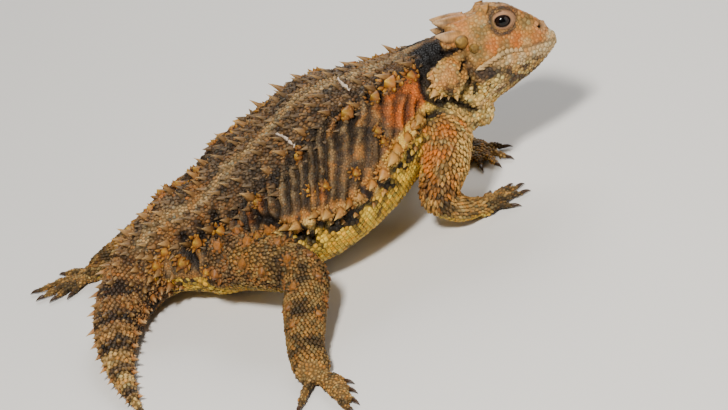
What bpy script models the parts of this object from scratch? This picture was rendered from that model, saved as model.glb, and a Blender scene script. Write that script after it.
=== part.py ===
"""Horned lizard, a still, life-size model in the stance of the photograph.

Run with: blender --background --python part.py

The animal props its chest up on bent forelegs, looks round to its right with the head
cocked, and lies with one hind leg thrown out and the tail curled to the right.
Lengths are given in units of UNIT, a ninety-sixth of the snout to vent length, in a
working frame: +X along the trunk to the head, +Y to the animal's left, +Z up, floor at 0.
The whole model is moved at the end so that the middle of its box stands on the origin.
"""

import math
import random

import bmesh
import bpy
from mathutils import Matrix, Vector

SNOUT_VENT = 0.091  # metres, from the tip of the snout to the vent
UNIT = SNOUT_VENT / 96
GAP = 0.0003 / UNIT  # clearance between neighbouring pieces
HEAD_ROOM, BODY_ROOM = GAP * 1.4, GAP * 1.2  # what neck, horns and legs are cut back by
SEED = 11

# Stations along the body axis, from the tip of the tail to inside the head.
# name, x, y, height of the widest line, half width, back above it, belly below it, roll
BODY = (
    ("tail_tip", -50.6, -42.5, 0.55, 0.30, 0.30, 0.5, 0),
    ("tail_thin", -51.4, -33.0, 1.35, 1.4, 1.3, 1.5, 0),
    ("tail_slim", -51.6, -23.5, 2.2, 2.7, 2.1, 2.4, 0),
    ("tail_bend", -50.2, -13.0, 3.3, 4.3, 3.2, 3.5, 2),
    ("tail_side", -47.0, -3.8, 4.7, 5.8, 4.2, 4.9, 6),
    ("tail_root", -41.4, 2.6, 6.8, 7.6, 5.6, 5.6, 12),
    ("vent", -34.6, 4.6, 9.2, 10.6, 7.6, 6.6, 18),
    ("pelvis", -27.0, 4.2, 10.8, 14.6, 9.2, 7.6, 23),
    ("loin", -19.0, 2.8, 11.4, 18.6, 10.4, 8.6, 18),
    ("paunch", -9.5, 1.6, 14.0, 23.4, 12.0, 11.4, 10),
    ("belly", 1.0, 0.6, 16.2, 25.4, 14.4, 13.2, 5),
    ("ribs", 11.0, 0.0, 18.8, 23.2, 16.2, 13.4, 2),
    ("breast", 20.0, 0.0, 21.2, 18.4, 13.0, 12.4, 0),
    ("shoulder", 27.5, 0.0, 23.4, 13.6, 10.2, 13.6, -2),
    ("neck", 34.0, 0.0, 25.6, 10.4, 8.4, 14.8, -6),
    ("nape", 40.0, 0.0, 27.6, 9.0, 6.4, 13.0, -12),
    ("skull", 46.0, 0.0, 29.4, 7.6, 5.2, 9.0, -18),
)
BODY_SIDES = 28
BELLY_SQUARENESS = 2.5  # the belly is a fuller curve than the back
BACK_SQUARENESS = 2.05
SECTION_STEP = 0.02  # how far apart, in stations, a section's neighbours are taken
# The lengths that the run is parted into: first and last place, steps and sides, colour.
BODY_LENGTHS = {
    "tail_tip": (("tail_tip", 0), ("tail_slim", 0.4), 5, 10, "tail"),
    "tail_middle": (("tail_slim", 0.4), ("tail_side", 0.3), 5, 14, "tail"),
    "tail_base": (("tail_side", 0.3), ("vent", 0), 5, 18, "tail"),
    "torso": (("vent", 0), ("shoulder", 0.35), 19, BODY_SIDES, "back"),
    "neck": (("shoulder", 0.35), ("nape", 0.75), 7, 22, "neck"),
}

# Thorns of the back: degrees off the midline, height, radius, first and last station.
BACK_ROWS = (
    (13, 2.3, 0.95, "vent", "shoulder"),
    (31, 3.1, 1.15, "vent", "neck"),
    (49, 2.7, 1.10, "vent", "shoulder"),
    (66, 2.1, 0.95, "pelvis", "shoulder"),
)
BACK_SPACING, BACK_STAGGER, BACK_SPREAD = 5.0, 0.2, 3  # the spread is in degrees
END_MARGIN = 0.3  # how far, in stations, a thorn keeps from where two lengths meet
FRINGE_START, FRINGE_ANGLE, FRINGE_SPACING = 0.6, -7, 3.3
FRINGE_HEIGHT, FRINGE_RADIUS = 2.5, 0.85
# Thorns of the tail: degrees off the midline and height at its root, in whorls.
TAIL_ROWS = ((20, 1.9), (52, 2.3), (86, 2.9))
TAIL_SPACING, TAIL_FULL_WIDTH, TAIL_BARE_WIDTH = 4.5, 8.5, 1.2

# Loose skin of the neck and throat: the thorny swelling behind each ear, its angle and its
# half sizes along, out and up, and the flap that hangs at the throat.
NECK_FOLD_STATION, NECK_FOLD_ANGLE, NECK_FOLD_SIZE = 0.3, 6, (4.9, 3.6, 4.4)
NECK_FOLD_SUNK, NECK_FOLD_ROOT = 0.6, 0.92
NECK_FOLD_SPINES, NECK_SPINE_HEIGHT, NECK_SPINE_RADIUS, NECK_SPINE_FAN = 5, 1.7, 0.85, 60
GULAR_PLACE, GULAR_SIZE = (18.6, -12.7), (2.8, 4.3, 3.0)

# The head's own frame: the tip of the snout, and which way the head is turned.
SNOUT = Vector((61.4, -4.2, 24.6))
HEAD_YAW, HEAD_PITCH, HEAD_ROLL = -11, -8, 19
HEAD_LENGTH = 23.5

# Profiles of the head: (distance behind the snout, value), measured from the mouth line.
CROWN_HEIGHT = (
    (0, 1.6), (1.1, 2.4), (2.1, 3.8), (4.6, 6.3), (9, 9.1),
    (14.5, 9.8), (15.4, 9.8), (16.3, 9.0), (18, 8.8), (23.5, 8.2),
)
BROW_HEIGHT = (
    (0, 1.2), (2.0, 3.0), (4.6, 6.0), (9, 9.4),
    (14.5, 10.5), (15.4, 10.5), (16.3, 9.1), (18, 8.6), (23.5, 7.6),
)
BROW_REACH = ((0, 0.9), (2.0, 2.2), (4.6, 3.9), (9, 6.9), (14.5, 7.9), (18, 8.2), (23.5, 7.6))
ORBIT_HEIGHT = ((0, 0.8), (2.6, 2.4), (4.8, 3.7), (9, 5.3), (14.5, 5.8), (18, 4.9), (23.5, 4.2))
ORBIT_REACH = ((0, 1.2), (2.6, 3.3), (4.8, 4.6), (9, 6.9), (14.5, 8.8), (18, 10.2), (23.5, 9.2))
LIP_REACH = ((0, 1.3), (2.6, 4.0), (4.8, 5.6), (9, 8.2), (14.5, 10.2), (18, 10.8), (23.5, 9.2))
LIP_HEIGHT = (
    (0, 0), (7.2, -0.1), (9.2, 0.1), (11.2, 0.4),
    (12.6, 0.1), (14.6, -0.6), (16.7, -1.4), (18, -2.0), (23.5, -3.0),
)
JAW_REACH = ((0, 0.9), (2.6, 3.4), (4.8, 5.0), (9, 7.6), (14.5, 9.6), (18, 9.7), (23.5, 8.4))
THROAT_DEPTH = (
    (0, -1.2), (3.9, -4.9), (8.4, -7.4), (14.2, -10.2), (17, -12.2), (20, -13.0), (23.5, -12.0),
)
THROAT_REACH = ((0, 0.5), (3, 2.1), (7.3, 4.0), (12.8, 5.6), (16.5, 5.6), (20, 5.4), (23.5, 5.6))
MOUTH_GROOVE, LIP_THICKNESS = 0.55, 0.32
# Where the head's cross-sections are taken, behind the snout.
HEAD_RING_PLACES = (
    0, 0.6, 1.3, 2.1, 3.2, 4.6, 6.4, 8.2, 9.8, 11.2, 12.6, 14.5, 15.4, 16.3, 18.4, 20.2, 22, 23.5
)

EYE_RADIUS = 1.95
EYE_BEHIND_SNOUT, EYE_HEIGHT, EYE_OUT = 11.3, 6.35, 6.6
LID_SIZE = (3.2, 2.6, 2.5)  # half lengths along the head, out and up
LID_OPENING = (1.65, 3.2, 1.3)
NOSTRIL_BEHIND_SNOUT, NOSTRIL_HEIGHT, NOSTRIL_OUT, NOSTRIL_SIZE = 3.2, 3.5, 2.7, (0.5, 1.0, 0.5)
EAR, EAR_SIZE, EAR_SLANT = (21.3, 9.4, -1.0), (0.6, 1.6, 1.6), 32
BROW_SPINE = (14.4, 7.1, 9.6, 1.6, 1.5)  # behind, out, up, height, radius
BROW_SPINE_LEAN = (0.85, 0.3, 0.5)  # backwards, sideways and up
# The pale points below the mouth line: first and last place, how many, drop, then height and
# radius of the first and what the last has more.
JAW_SPINES = (8.6, 17.4, 8)
JAW_SPINE_DROP, JAW_SPINE_HEIGHT, JAW_SPINE_RADIUS = 0.8, (0.7, 0.7), (0.58, 0.3)
JAW_SPINE_LEAN = (0.5, 0.85, -0.3)

# Horns: name, behind the snout, out from the midline, height, length, radius at the root,
# then the way it points: backwards, sideways and up.
HORNS = (
    ("horn_occipital", 19.0, 3.4, 7.0, 7.1, 1.95, 1.0, 0.24, 0.13),
    ("horn_temporal_1", 20.2, 7.4, 4.4, 6.2, 1.75, 1.0, 0.38, 0.18),
    ("horn_temporal_2", 20.2, 8.6, 3.7, 4.2, 1.4, 0.42, 1.0, 0.08),
    ("horn_temporal_3", 18.2, 9.2, 2.0, 3.0, 1.05, 0.25, 1.0, 0.0),
)
# The rings of a horn: share of its length, share of its root radius, lift of its tip.
HORN_RINGS = ((0, 1.12, 0), (0.35, 1.0, 0.01), (0.65, 0.7, 0.03), (0.88, 0.32, 0.07), (1, 0.06, 0.1))
HORN_SIDES = 8

# Legs: centre line points from inside the body, with the two half widths at each.
# x, y, z, half width, half height
LEGS = {
    "front_right": (
        (28.0, -5.5, 20.5, 5.6, 5.6),
        (30.0, -12.4, 17.8, 5.5, 5.6),
        (27.4, -16.8, 13.0, 5.0, 5.0),
        (24.0, -19.0, 8.0, 4.1, 4.1),
        (26.6, -20.0, 4.5, 3.1, 3.1),
        (29.4, -19.6, 2.9, 2.6, 2.5),
        (32.4, -18.2, 1.8, 2.7, 1.7),
    ),
    "front_left": (
        (28.0, 5.5, 20.5, 5.5, 5.5),
        (29.4, 12.4, 17.4, 5.3, 5.4),
        (27.4, 18.2, 12.6, 4.7, 4.9),
        (26.8, 21.4, 8.6, 3.5, 3.6),
        (31.6, 18.8, 5.0, 2.9, 3.0),
        (35.8, 13.0, 3.2, 2.5, 2.4),
        (39.0, 8.6, 1.8, 2.6, 1.7),
    ),
    "hind_right": (
        (-25.4, -2.0, 8.4, 5.2, 4.8),
        (-21.6, -11.4, 9.8, 6.3, 6.2),
        (-15.2, -21.6, 11.2, 5.9, 5.9),
        (-9.8, -31.2, 9.8, 4.8, 4.9),
        (-12.8, -39.0, 7.0, 4.4, 4.4),
        (-16.0, -47.6, 3.9, 3.8, 3.4),
        (-16.8, -54.0, 2.0, 3.8, 1.9),
    ),
    "hind_left": (
        (-27.0, 5.0, 10.6, 6.2, 5.8),
        (-25.6, 15.0, 9.4, 5.9, 5.6),
        (-25.8, 23.0, 7.4, 5.2, 4.9),
        (-30.4, 28.2, 5.6, 4.4, 4.2),
        (-37.2, 25.4, 5.0, 3.8, 3.7),
        (-43.8, 24.4, 3.9, 3.2, 3.0),
        (-48.8, 26.4, 2.0, 3.4, 1.9),
    ),
}
LEG_SIDES = 12
KNEE, ANKLE = 3.0, 5.0  # where a leg is divided, counted in points from its root
PARTING = 0.15  # how far each length runs on before it is trimmed square, in the same count
LEG_EASE = 0.8  # how far before and after a leg's section looks to find its direction
LEG_LENGTHS = ((0.0, KNEE, 7), (KNEE, ANKLE, 5))  # first and last point, and steps between
FOOT_STEPS = 3
PALM_HEIGHT, PALM_SIZE = 1.35, (3.4, 3.4, 1.7)
# Thorns of a leg: how many in a row, the rows' angles, and height and radius as shares of its
# half width. The first stands clear of the body.
LEG_SPINES, LEG_SPINE_ANGLES, LEG_SPINE_SPREAD = 4, (60, 120), 12
LEG_SPINE_HEIGHT, LEG_SPINE_RADIUS = 0.3, 0.19
LEG_SPINE_START, LEG_SPINE_MARGIN = 1.15, 0.2

# Toes: heading in degrees in plan, length, of each toe from the innermost outwards.
TOES = {
    "front_right": ((62, 5.2), (36, 7.8), (22, 8.6), (2, 7.8), (-32, 5.2)),
    "front_left": ((-124, 5.0), (-98, 7.2), (-78, 9.0), (-60, 9.0), (-30, 6.0)),
    "hind_right": ((-52, 7.0), (-64, 10.0), (-73, 13.6), (-81, 16.2), (-124, 9.2)),
    "hind_left": ((214, 6.6), (196, 9.4), (180, 11.6), (164, 12.8), (134, 8.0)),
}
TOE_SIDES, TOE_RADIUS, CLAW_LENGTH = 6, 0.98, 1.9
TOE_START, TOE_SHORTER = 2.2, 1.2  # where a toe leaves the palm, and what its claw takes off
# Share of the toe's length, height of its middle, share of its radius.
TOE_SHAPE = ((-0.1, 1.0, 1.05), (0.25, 1.35, 1.0), (0.55, 1.30, 0.92), (0.85, 0.85, 0.82), (1.0, 0.62, 0.62))
# Share of the claw's length, height of its middle, radius.
CLAW_SHAPE = ((0.12, 0.75, 0.44), (0.6, 0.72, 0.30), (1.0, 0.32, 0.10))

COLOURS = {
    "back": (0.24, 0.17, 0.10),
    "neck": (0.10, 0.08, 0.06),
    "head": (0.56, 0.36, 0.20),
    "horn": (0.62, 0.42, 0.27),
    "eye": (0.05, 0.03, 0.02),
    "limb": (0.42, 0.27, 0.12),
    "tail": (0.44, 0.29, 0.14),
}


def clear_scene():
    """Removes whatever the file opened with."""
    for obj in list(bpy.data.objects):
        bpy.data.objects.remove(obj)


def new_collection(name):
    """A new collection in the scene."""
    collection = bpy.data.collections.new(name)
    bpy.context.scene.collection.children.link(collection)
    return collection


def finish_of(name, roughness=0.7):
    """One Principled material for each finish, made when it is first asked for."""
    found = bpy.data.materials.get(name)
    if found:
        return found
    made = bpy.data.materials.new(name)
    made.use_nodes = True
    shader = made.node_tree.nodes["Principled BSDF"]
    shader.inputs["Base Color"].default_value = (*COLOURS[name], 1)
    shader.inputs["Roughness"].default_value = roughness
    shader.inputs["Metallic"].default_value = 0
    return made


def blend_rows(rows, t):
    """The row at a fractional place t, on a smooth curve through all the rows."""
    last = len(rows) - 1
    i = min(max(int(math.floor(t)), 0), last - 1)
    f = t - i
    a, b, c, d = (rows[min(max(k, 0), last)] for k in (i - 1, i, i + 1, i + 2))
    return [
        0.5 * (2 * q + (r - p) * f + (2 * p - 5 * q + 4 * r - s) * f * f + (3 * q - p - 3 * r + s) * f**3)
        for p, q, r, s in zip(a, b, c, d)
    ]


def value_at(profile, distance):
    """A head profile's value, straight between its points and eased at each."""
    for (x0, v0), (x1, v1) in zip(profile, profile[1:]):
        if distance <= x1:
            f = max((distance - x0) / (x1 - x0), 0)
            return v0 + (v1 - v0) * f
    return profile[-1][1]


BODY_NAMES = [row[0] for row in BODY]
BODY_ROWS = [row[1:] for row in BODY]


def station(name, beyond=0.0):
    """A station's place along the body, or a place a little beyond it."""
    return BODY_NAMES.index(name) + beyond


class Section:
    """A cross-section of the body or of a leg: where it is, how it is turned, its sizes."""

    def __init__(self, rows, t, leg=False):
        row = blend_rows(rows, t)
        step = LEG_EASE if leg else SECTION_STEP
        before = blend_rows(rows, max(t - step, 0))
        after = blend_rows(rows, min(t + step, len(rows) - 1))
        self.centre = Vector(row[:3])
        self.ahead = (Vector(after[:3]) - Vector(before[:3])).normalized()
        if leg:
            self.wide, self.up, self.down, roll = row[3], row[4], row[4], 0
        else:
            self.wide, self.up, self.down, roll = row[3:7]
        side = Vector((0, 0, 1)).cross(self.ahead).normalized()
        turn = Matrix.Rotation(math.radians(roll), 3, self.ahead)
        self.side = turn @ side
        self.top = self.ahead.cross(self.side)
        self.leg = leg

    def shape(self, angle):
        """How far out and up the surface is at an angle from the left side."""
        c, s = math.cos(angle), math.sin(angle)
        power = 2 if self.leg else (BACK_SQUARENESS if s > 0 else BELLY_SQUARENESS)
        high = self.up if s > 0 else self.down
        out = math.copysign(abs(c) ** (2 / power), c) * self.wide
        up = math.copysign(abs(s) ** (2 / power), s) * high
        return out, up

    def point(self, angle, grow=0.0):
        """The place on the surface at an angle, or a little outside it."""
        out, up = self.shape(angle)
        reach = math.hypot(out, up)
        share = (reach + grow) / reach
        return self.centre + self.side * out * share + self.top * up * share

    def outward(self, angle):
        """Which way the surface faces at an angle."""
        high = self.up if math.sin(angle) > 0 else self.down
        return (self.side * math.cos(angle) / self.wide + self.top * math.sin(angle) / high).normalized()


def add_object(name, bm, collection, colour=None):
    """A new object from a bmesh in working units, made real size."""
    bmesh.ops.recalc_face_normals(bm, faces=bm.faces)
    bmesh.ops.scale(bm, vec=(UNIT,) * 3, verts=bm.verts)
    mesh = bpy.data.meshes.new(name)
    bm.to_mesh(mesh)
    bm.free()
    obj = bpy.data.objects.new(name, mesh)
    collection.objects.link(obj)
    if colour:
        mesh.materials.append(finish_of(colour))
    return obj


def loft(rings, pointed_start=False, pointed_end=False):
    """A closed skin over rings of points, capped flat, or drawn to a point."""
    bm = bmesh.new()
    made = [[bm.verts.new(p) for p in ring] for ring in rings]
    count = len(rings[0])
    for a, b in zip(made, made[1:]):
        for i in range(count):
            j = (i + 1) % count
            bm.faces.new((a[i], a[j], b[j], b[i]))
    for ring, pointed in ((made[0], pointed_start), (made[-1], pointed_end)):
        if pointed:
            tip = bm.verts.new(sum((v.co for v in ring), Vector()) / count)
            for i in range(count):
                bm.faces.new((ring[i], ring[(i + 1) % count], tip))
        else:
            bm.faces.new(ring)
    return bm


def tube(rows, start, end, steps, sides, leg=False, grow=0.0):
    """The rings of a stretch of the body or of a leg."""
    rings = []
    for k in range(steps + 1):
        section = Section(rows, start + (end - start) * k / steps, leg)
        rings.append([section.point(2 * math.pi * i / sides, grow) for i in range(sides)])
    return rings


def gap_step(rows, t):
    """Half of the clearance between two pieces, as a step along the rows."""
    a, b = blend_rows(rows, t - SECTION_STEP), blend_rows(rows, t + SECTION_STEP)
    speed = (Vector(b[:3]) - Vector(a[:3])).length / (2 * SECTION_STEP)
    return GAP / 2 / speed


def unit_sum(directions, shares):
    """A unit vector from shares of three directions."""
    return sum((way * share for way, share in zip(directions, shares)), Vector()).normalized()


def round_ring(centre, across, over, radius, sides):
    """A ring of points in the plane of two directions."""
    turns = (2 * math.pi * i / sides for i in range(sides))
    return [centre + (across * math.cos(a) + over * math.sin(a)) * radius for a in turns]


def spine(point, direction, height, radius, sides=5, root=0.6):
    """A thorn: a slim cone whose root is sunk below the skin."""
    bm = bmesh.new()
    depth = height + root * radius + radius * 0.6
    bmesh.ops.create_cone(bm, cap_ends=True, segments=sides, radius1=radius, radius2=0, depth=depth)
    turn = direction.to_track_quat("Z", "Y").to_matrix().to_4x4()
    move = Matrix.Translation(point + direction * (height - depth / 2))
    bmesh.ops.transform(bm, matrix=move @ turn, verts=bm.verts)
    return bm


def ball(centre, radii, turn=None, rings=8, segments=14):
    """An ellipsoid, turned by a matrix whose columns are its axes."""
    bm = bmesh.new()
    bmesh.ops.create_uvsphere(bm, u_segments=segments, v_segments=rings, radius=1)
    grow = Matrix.Diagonal((*radii, 1))
    axes = turn.to_4x4() if turn else Matrix.Identity(4)
    bmesh.ops.transform(bm, matrix=Matrix.Translation(centre) @ axes @ grow, verts=bm.verts)
    return bm


def applied(obj):
    """Replaces an object's mesh by what its modifiers make of it."""
    bpy.context.view_layer.update()
    graph = bpy.context.evaluated_depsgraph_get()
    mesh = bpy.data.meshes.new_from_object(obj.evaluated_get(graph))
    obj.modifiers.clear()
    obj.data = mesh


def combine(obj, others, operation, solver="MANIFOLD"):
    """Joins or cuts an object by others in one Boolean, and removes them."""
    group = bpy.data.collections.new("boolean_operands")
    bpy.context.scene.collection.children.link(group)
    for other in others:
        for home in list(other.users_collection):
            home.objects.unlink(other)
        group.objects.link(other)
    modifier = obj.modifiers.new("combine", "BOOLEAN")
    modifier.operation = operation
    modifier.solver = solver
    modifier.operand_type = "COLLECTION"
    modifier.collection = group
    applied(obj)
    for other in others:
        bpy.data.objects.remove(other)
    bpy.data.collections.remove(group)


def keep_largest(obj):
    """Keeps the largest closed surface, which drops loose scraps and fills sealed hollows."""
    bm = bmesh.new()
    bm.from_mesh(obj.data)
    left = set(bm.verts)
    shells = []
    while left:
        seed = left.pop()
        shell, front = {seed}, [seed]
        while front:
            for edge in front.pop().link_edges:
                for vert in edge.verts:
                    if vert in left:
                        left.discard(vert)
                        shell.add(vert)
                        front.append(vert)
        shells.append(shell)
    largest = max(shells, key=len)
    bmesh.ops.delete(bm, geom=[v for v in bm.verts if v not in largest], context="VERTS")
    bm.to_mesh(obj.data)
    bm.free()


def floor_cutter(collection):
    """A slab whose top is the floor, which leaves the small flats the model rests on."""
    bm = bmesh.new()
    bmesh.ops.create_cube(bm, size=1)
    bmesh.ops.scale(bm, vec=(240, 240, 20), verts=bm.verts)
    bmesh.ops.translate(bm, vec=(0, 0, -10), verts=bm.verts)
    return add_object("floor_cutter", bm, collection)


def end_cutter(rows, t, way, collection):
    """A block that trims a leg square at t: all beyond it (way 1) or before it (way -1)."""
    section = Section(rows, t, leg=True)
    across, depth = section.wide * 3.2, section.wide * 2.2
    bm = bmesh.new()
    bmesh.ops.create_cube(bm, size=1)
    bmesh.ops.scale(bm, vec=(depth, across, across), verts=bm.verts)
    axes = Matrix((section.ahead, section.side, section.top)).transposed().to_4x4()
    place = Matrix.Translation(section.centre + section.ahead * way * (depth - GAP) / 2)
    bmesh.ops.transform(bm, matrix=place @ axes, verts=bm.verts)
    return add_object("end_cutter", bm, collection)


def clear_of_legs(point, reach):
    """Whether a spine of this reach keeps off every leg."""
    for rows in LEGS.values():
        for k in range(0, 25):
            row = blend_rows(rows, k / 4)
            if (point - Vector(row[:3])).length < row[3] + reach:
                return False
    return True


def length_steps(first, last, spacing):
    """Places along the body at an even spacing between two stations."""
    t, found = first, []
    while t < last:
        found.append(t)
        a, b = blend_rows(BODY_ROWS, t), blend_rows(BODY_ROWS, t + SECTION_STEP)
        t += spacing / ((Vector(b[:3]) - Vector(a[:3])).length / SECTION_STEP)
    return found


def body_spines(rng, first, last, collection):
    """The thorns of the back and the fringe of the flanks that stand between two stations."""
    made = []
    for number, (off, height, radius, start, end) in enumerate(BACK_ROWS):
        low = max(station(start), first) + END_MARGIN + BACK_STAGGER * (number % 2)
        high = min(station(end), last) - END_MARGIN
        for side in (-1, 1):
            for t in length_steps(low, high, BACK_SPACING):
                angle = math.radians(90 + side * (off + rng.uniform(-BACK_SPREAD, BACK_SPREAD)))
                section = Section(BODY_ROWS, t + rng.uniform(0, 0.06))
                tall = height * rng.uniform(0.75, 1.2)
                point = section.point(angle)
                if clear_of_legs(point, tall * 0.5 + 1.0):
                    lean = (section.outward(angle) * 0.85 - section.ahead * 0.55).normalized()
                    made.append(add_object("spine", spine(point, lean, tall, radius), collection))
    low, high = max(station("pelvis", FRINGE_START), first), min(station("shoulder"), last)
    for side in (0, 180):
        for t in length_steps(low, high, FRINGE_SPACING):
            angle = math.radians(side + (FRINGE_ANGLE if side == 0 else -FRINGE_ANGLE))
            section = Section(BODY_ROWS, t)
            tall = FRINGE_HEIGHT * rng.uniform(0.8, 1.15)
            point = section.point(angle)
            if clear_of_legs(point, tall * 0.7 + 1.2):
                lean = (section.outward(angle) - section.ahead * 0.45 + section.top * 0.1).normalized()
                made.append(add_object("spine", spine(point, lean, tall, FRINGE_RADIUS), collection))
    return made


def tail_spines(rng, first, last, collection):
    """The whorls of thorns that stand on a length of the tail."""
    made = []
    for t in length_steps(first + END_MARGIN * 0.8, last - END_MARGIN * 0.6, TAIL_SPACING):
        section = Section(BODY_ROWS, t)
        share = min(section.wide / TAIL_FULL_WIDTH, 1.0)
        for off, height in TAIL_ROWS:
            for side in (-1, 1):
                tall = height * (0.35 + 0.65 * share) * rng.uniform(0.85, 1.15)
                angle = math.radians(90 + side * off)
                point = section.point(angle)
                if section.wide < TAIL_BARE_WIDTH or not clear_of_legs(point, tall + 0.6):
                    continue
                lean = (section.outward(angle) - section.ahead * 0.75).normalized()
                lean.z = max(lean.z, 0.05)
                lean.normalize()
                made.append(add_object("spine", spine(point, lean, tall, 0.5 + 0.5 * share), collection))
    return made


def neck_folds(rng, collection):
    """The swelling behind each ear, with its fan of thorns, and the flap at the throat."""
    made = []
    section = Section(BODY_ROWS, station("neck", NECK_FOLD_STATION))
    axes = Matrix((section.ahead, section.side, section.top)).transposed()
    for side in (1, -1):
        angle = math.radians(NECK_FOLD_ANGLE if side == 1 else 180 - NECK_FOLD_ANGLE)
        centre = section.point(angle, -NECK_FOLD_SUNK)
        made.append(add_object("fold", ball(centre, NECK_FOLD_SIZE, axes, 6, 12), collection))
        for k in range(NECK_FOLD_SPINES):
            f = math.radians(NECK_SPINE_FAN * (2 * k / (NECK_FOLD_SPINES - 1) - 1))
            ways = (section.ahead, section.side, section.top)
            toward = unit_sum(ways, (-math.cos(f), side * 0.55, math.sin(f)))
            reach = [toward.dot(way) * size * NECK_FOLD_ROOT for way, size in zip(ways, NECK_FOLD_SIZE)]
            root = centre + sum((way * out for way, out in zip(ways, reach)), Vector())
            tall = NECK_SPINE_HEIGHT * rng.uniform(0.85, 1.15)
            thorn = spine(root, toward, tall, NECK_SPINE_RADIUS, root=1.0)
            made.append(add_object("spine", thorn, collection))
    behind, up = GULAR_PLACE
    axes = Matrix(head_axes()).transposed()
    flap = ball(head_point(behind, 0, up), GULAR_SIZE, axes, 6, 12)
    made.append(add_object("gular_flap", flap, collection))
    return made


def make_body(collection, scratch):
    """Tail, torso and neck: one run of sections, parted by thin gaps."""
    rng = random.Random(SEED)
    nodes = {}
    for name, (low, high, steps, sides, colour) in BODY_LENGTHS.items():
        first, last = station(*low), station(*high)
        start = first + (gap_step(BODY_ROWS, first) if first > 0 else 0)
        end = last - gap_step(BODY_ROWS, last)
        rings = tube(BODY_ROWS, start, end, steps, sides)
        obj = add_object(name, loft(rings, pointed_start=first == 0), collection, colour)
        maker = tail_spines if colour == "tail" else body_spines
        spines = maker(rng, start, end, scratch)
        if name == "neck":
            spines += neck_folds(rng, scratch)
        combine(obj, spines, "UNION")
        if colour == "tail":
            combine(obj, [floor_cutter(scratch)], "DIFFERENCE")
        nodes[name] = obj
    combine(nodes["neck"], [head_core(scratch, HEAD_ROOM)], "DIFFERENCE")
    for obj in nodes.values():
        keep_largest(obj)


def head_axes():
    """Which way the head's front, left and top face."""
    yaw, pitch, roll = (math.radians(v) for v in (HEAD_YAW, HEAD_PITCH, HEAD_ROLL))
    front = Vector((math.cos(pitch) * math.cos(yaw), math.cos(pitch) * math.sin(yaw), math.sin(pitch)))
    left = Matrix.Rotation(-roll, 3, front) @ Vector((0, 0, 1)).cross(front).normalized()
    return front, left, front.cross(left)


def head_point(behind, out, up):
    """The place at a distance behind the snout, out from the midline and up from the mouth."""
    front, left, top = head_axes()
    return SNOUT - front * behind + left * out + top * up


def head_ring(d, grow):
    """One cross-section of the head, from the crown down the left side and up the right."""
    crown, brow = value_at(CROWN_HEIGHT, d), value_at(BROW_HEIGHT, d)
    brow_out, orbit = value_at(BROW_REACH, d), value_at(ORBIT_HEIGHT, d)
    orbit_out, lip_out = value_at(ORBIT_REACH, d), value_at(LIP_REACH, d)
    lip, jaw_out = value_at(LIP_HEIGHT, d), value_at(JAW_REACH, d)
    throat, throat_out = value_at(THROAT_DEPTH, d), value_at(THROAT_REACH, d)
    groove = MOUTH_GROOVE * min(1, (HEAD_LENGTH - d) / 6, (d + 0.6) / 1.5)
    lips = LIP_THICKNESS * min(1, (d + 0.5) / 3)
    half = [
        (0, crown),
        (brow_out * 0.55, (crown + brow) / 2),
        (brow_out, brow),
        ((brow_out + orbit_out) / 2 - 0.25, (brow + orbit) / 2),
        (orbit_out, orbit),
        ((orbit_out + lip_out) / 2, (orbit + lip) / 2),
        (lip_out, lip + lips),
        (lip_out - groove, lip),
        (jaw_out, lip - lips),
        (jaw_out * 0.98, lip * 0.7 + throat * 0.3),
        (throat_out, throat * 0.78 + lip * 0.06),
        (throat_out * 0.5, throat * 0.97),
        (0, throat),
    ]
    grown = []
    for out, up in half:
        reach = max(math.hypot(out, up), 0.1)
        share = (reach + grow) / reach
        grown.append((out * share, up * share))
    ring = grown + [(-out, up) for out, up in reversed(grown[1:-1])]
    behind = d + (grow if d >= HEAD_LENGTH else 0) - (grow if d <= 0 else 0)
    return [head_point(behind, out, up) for out, up in ring]


def head_core(collection, grow=0.0):
    """The bare head, without lids, spines or pits."""
    bm = loft([head_ring(d, grow) for d in HEAD_RING_PLACES])
    return add_object("head_core", bm, collection)


def eye_place(side):
    """The middle of an eyeball."""
    return head_point(EYE_BEHIND_SNOUT, side * EYE_OUT, EYE_HEIGHT)


def jaw_spines(side, collection):
    """The row of pale points below the mouth line, largest at its corner."""
    front, left, top = head_axes()
    backward, sideways, upward = JAW_SPINE_LEAN
    lean = unit_sum((-front, left, top), (backward, side * sideways, upward))
    first, last, count = JAW_SPINES
    made = []
    for k in range(count):
        f = k / (count - 1)
        d = first + (last - first) * f
        up = value_at(LIP_HEIGHT, d) - JAW_SPINE_DROP
        point = head_point(d, side * value_at(JAW_REACH, d) * 0.97, up)
        tall = JAW_SPINE_HEIGHT[0] + JAW_SPINE_HEIGHT[1] * f
        thick = JAW_SPINE_RADIUS[0] + JAW_SPINE_RADIUS[1] * f
        made.append(add_object("spine", spine(point, lean, tall, thick, root=1.0), collection))
    return made


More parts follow.
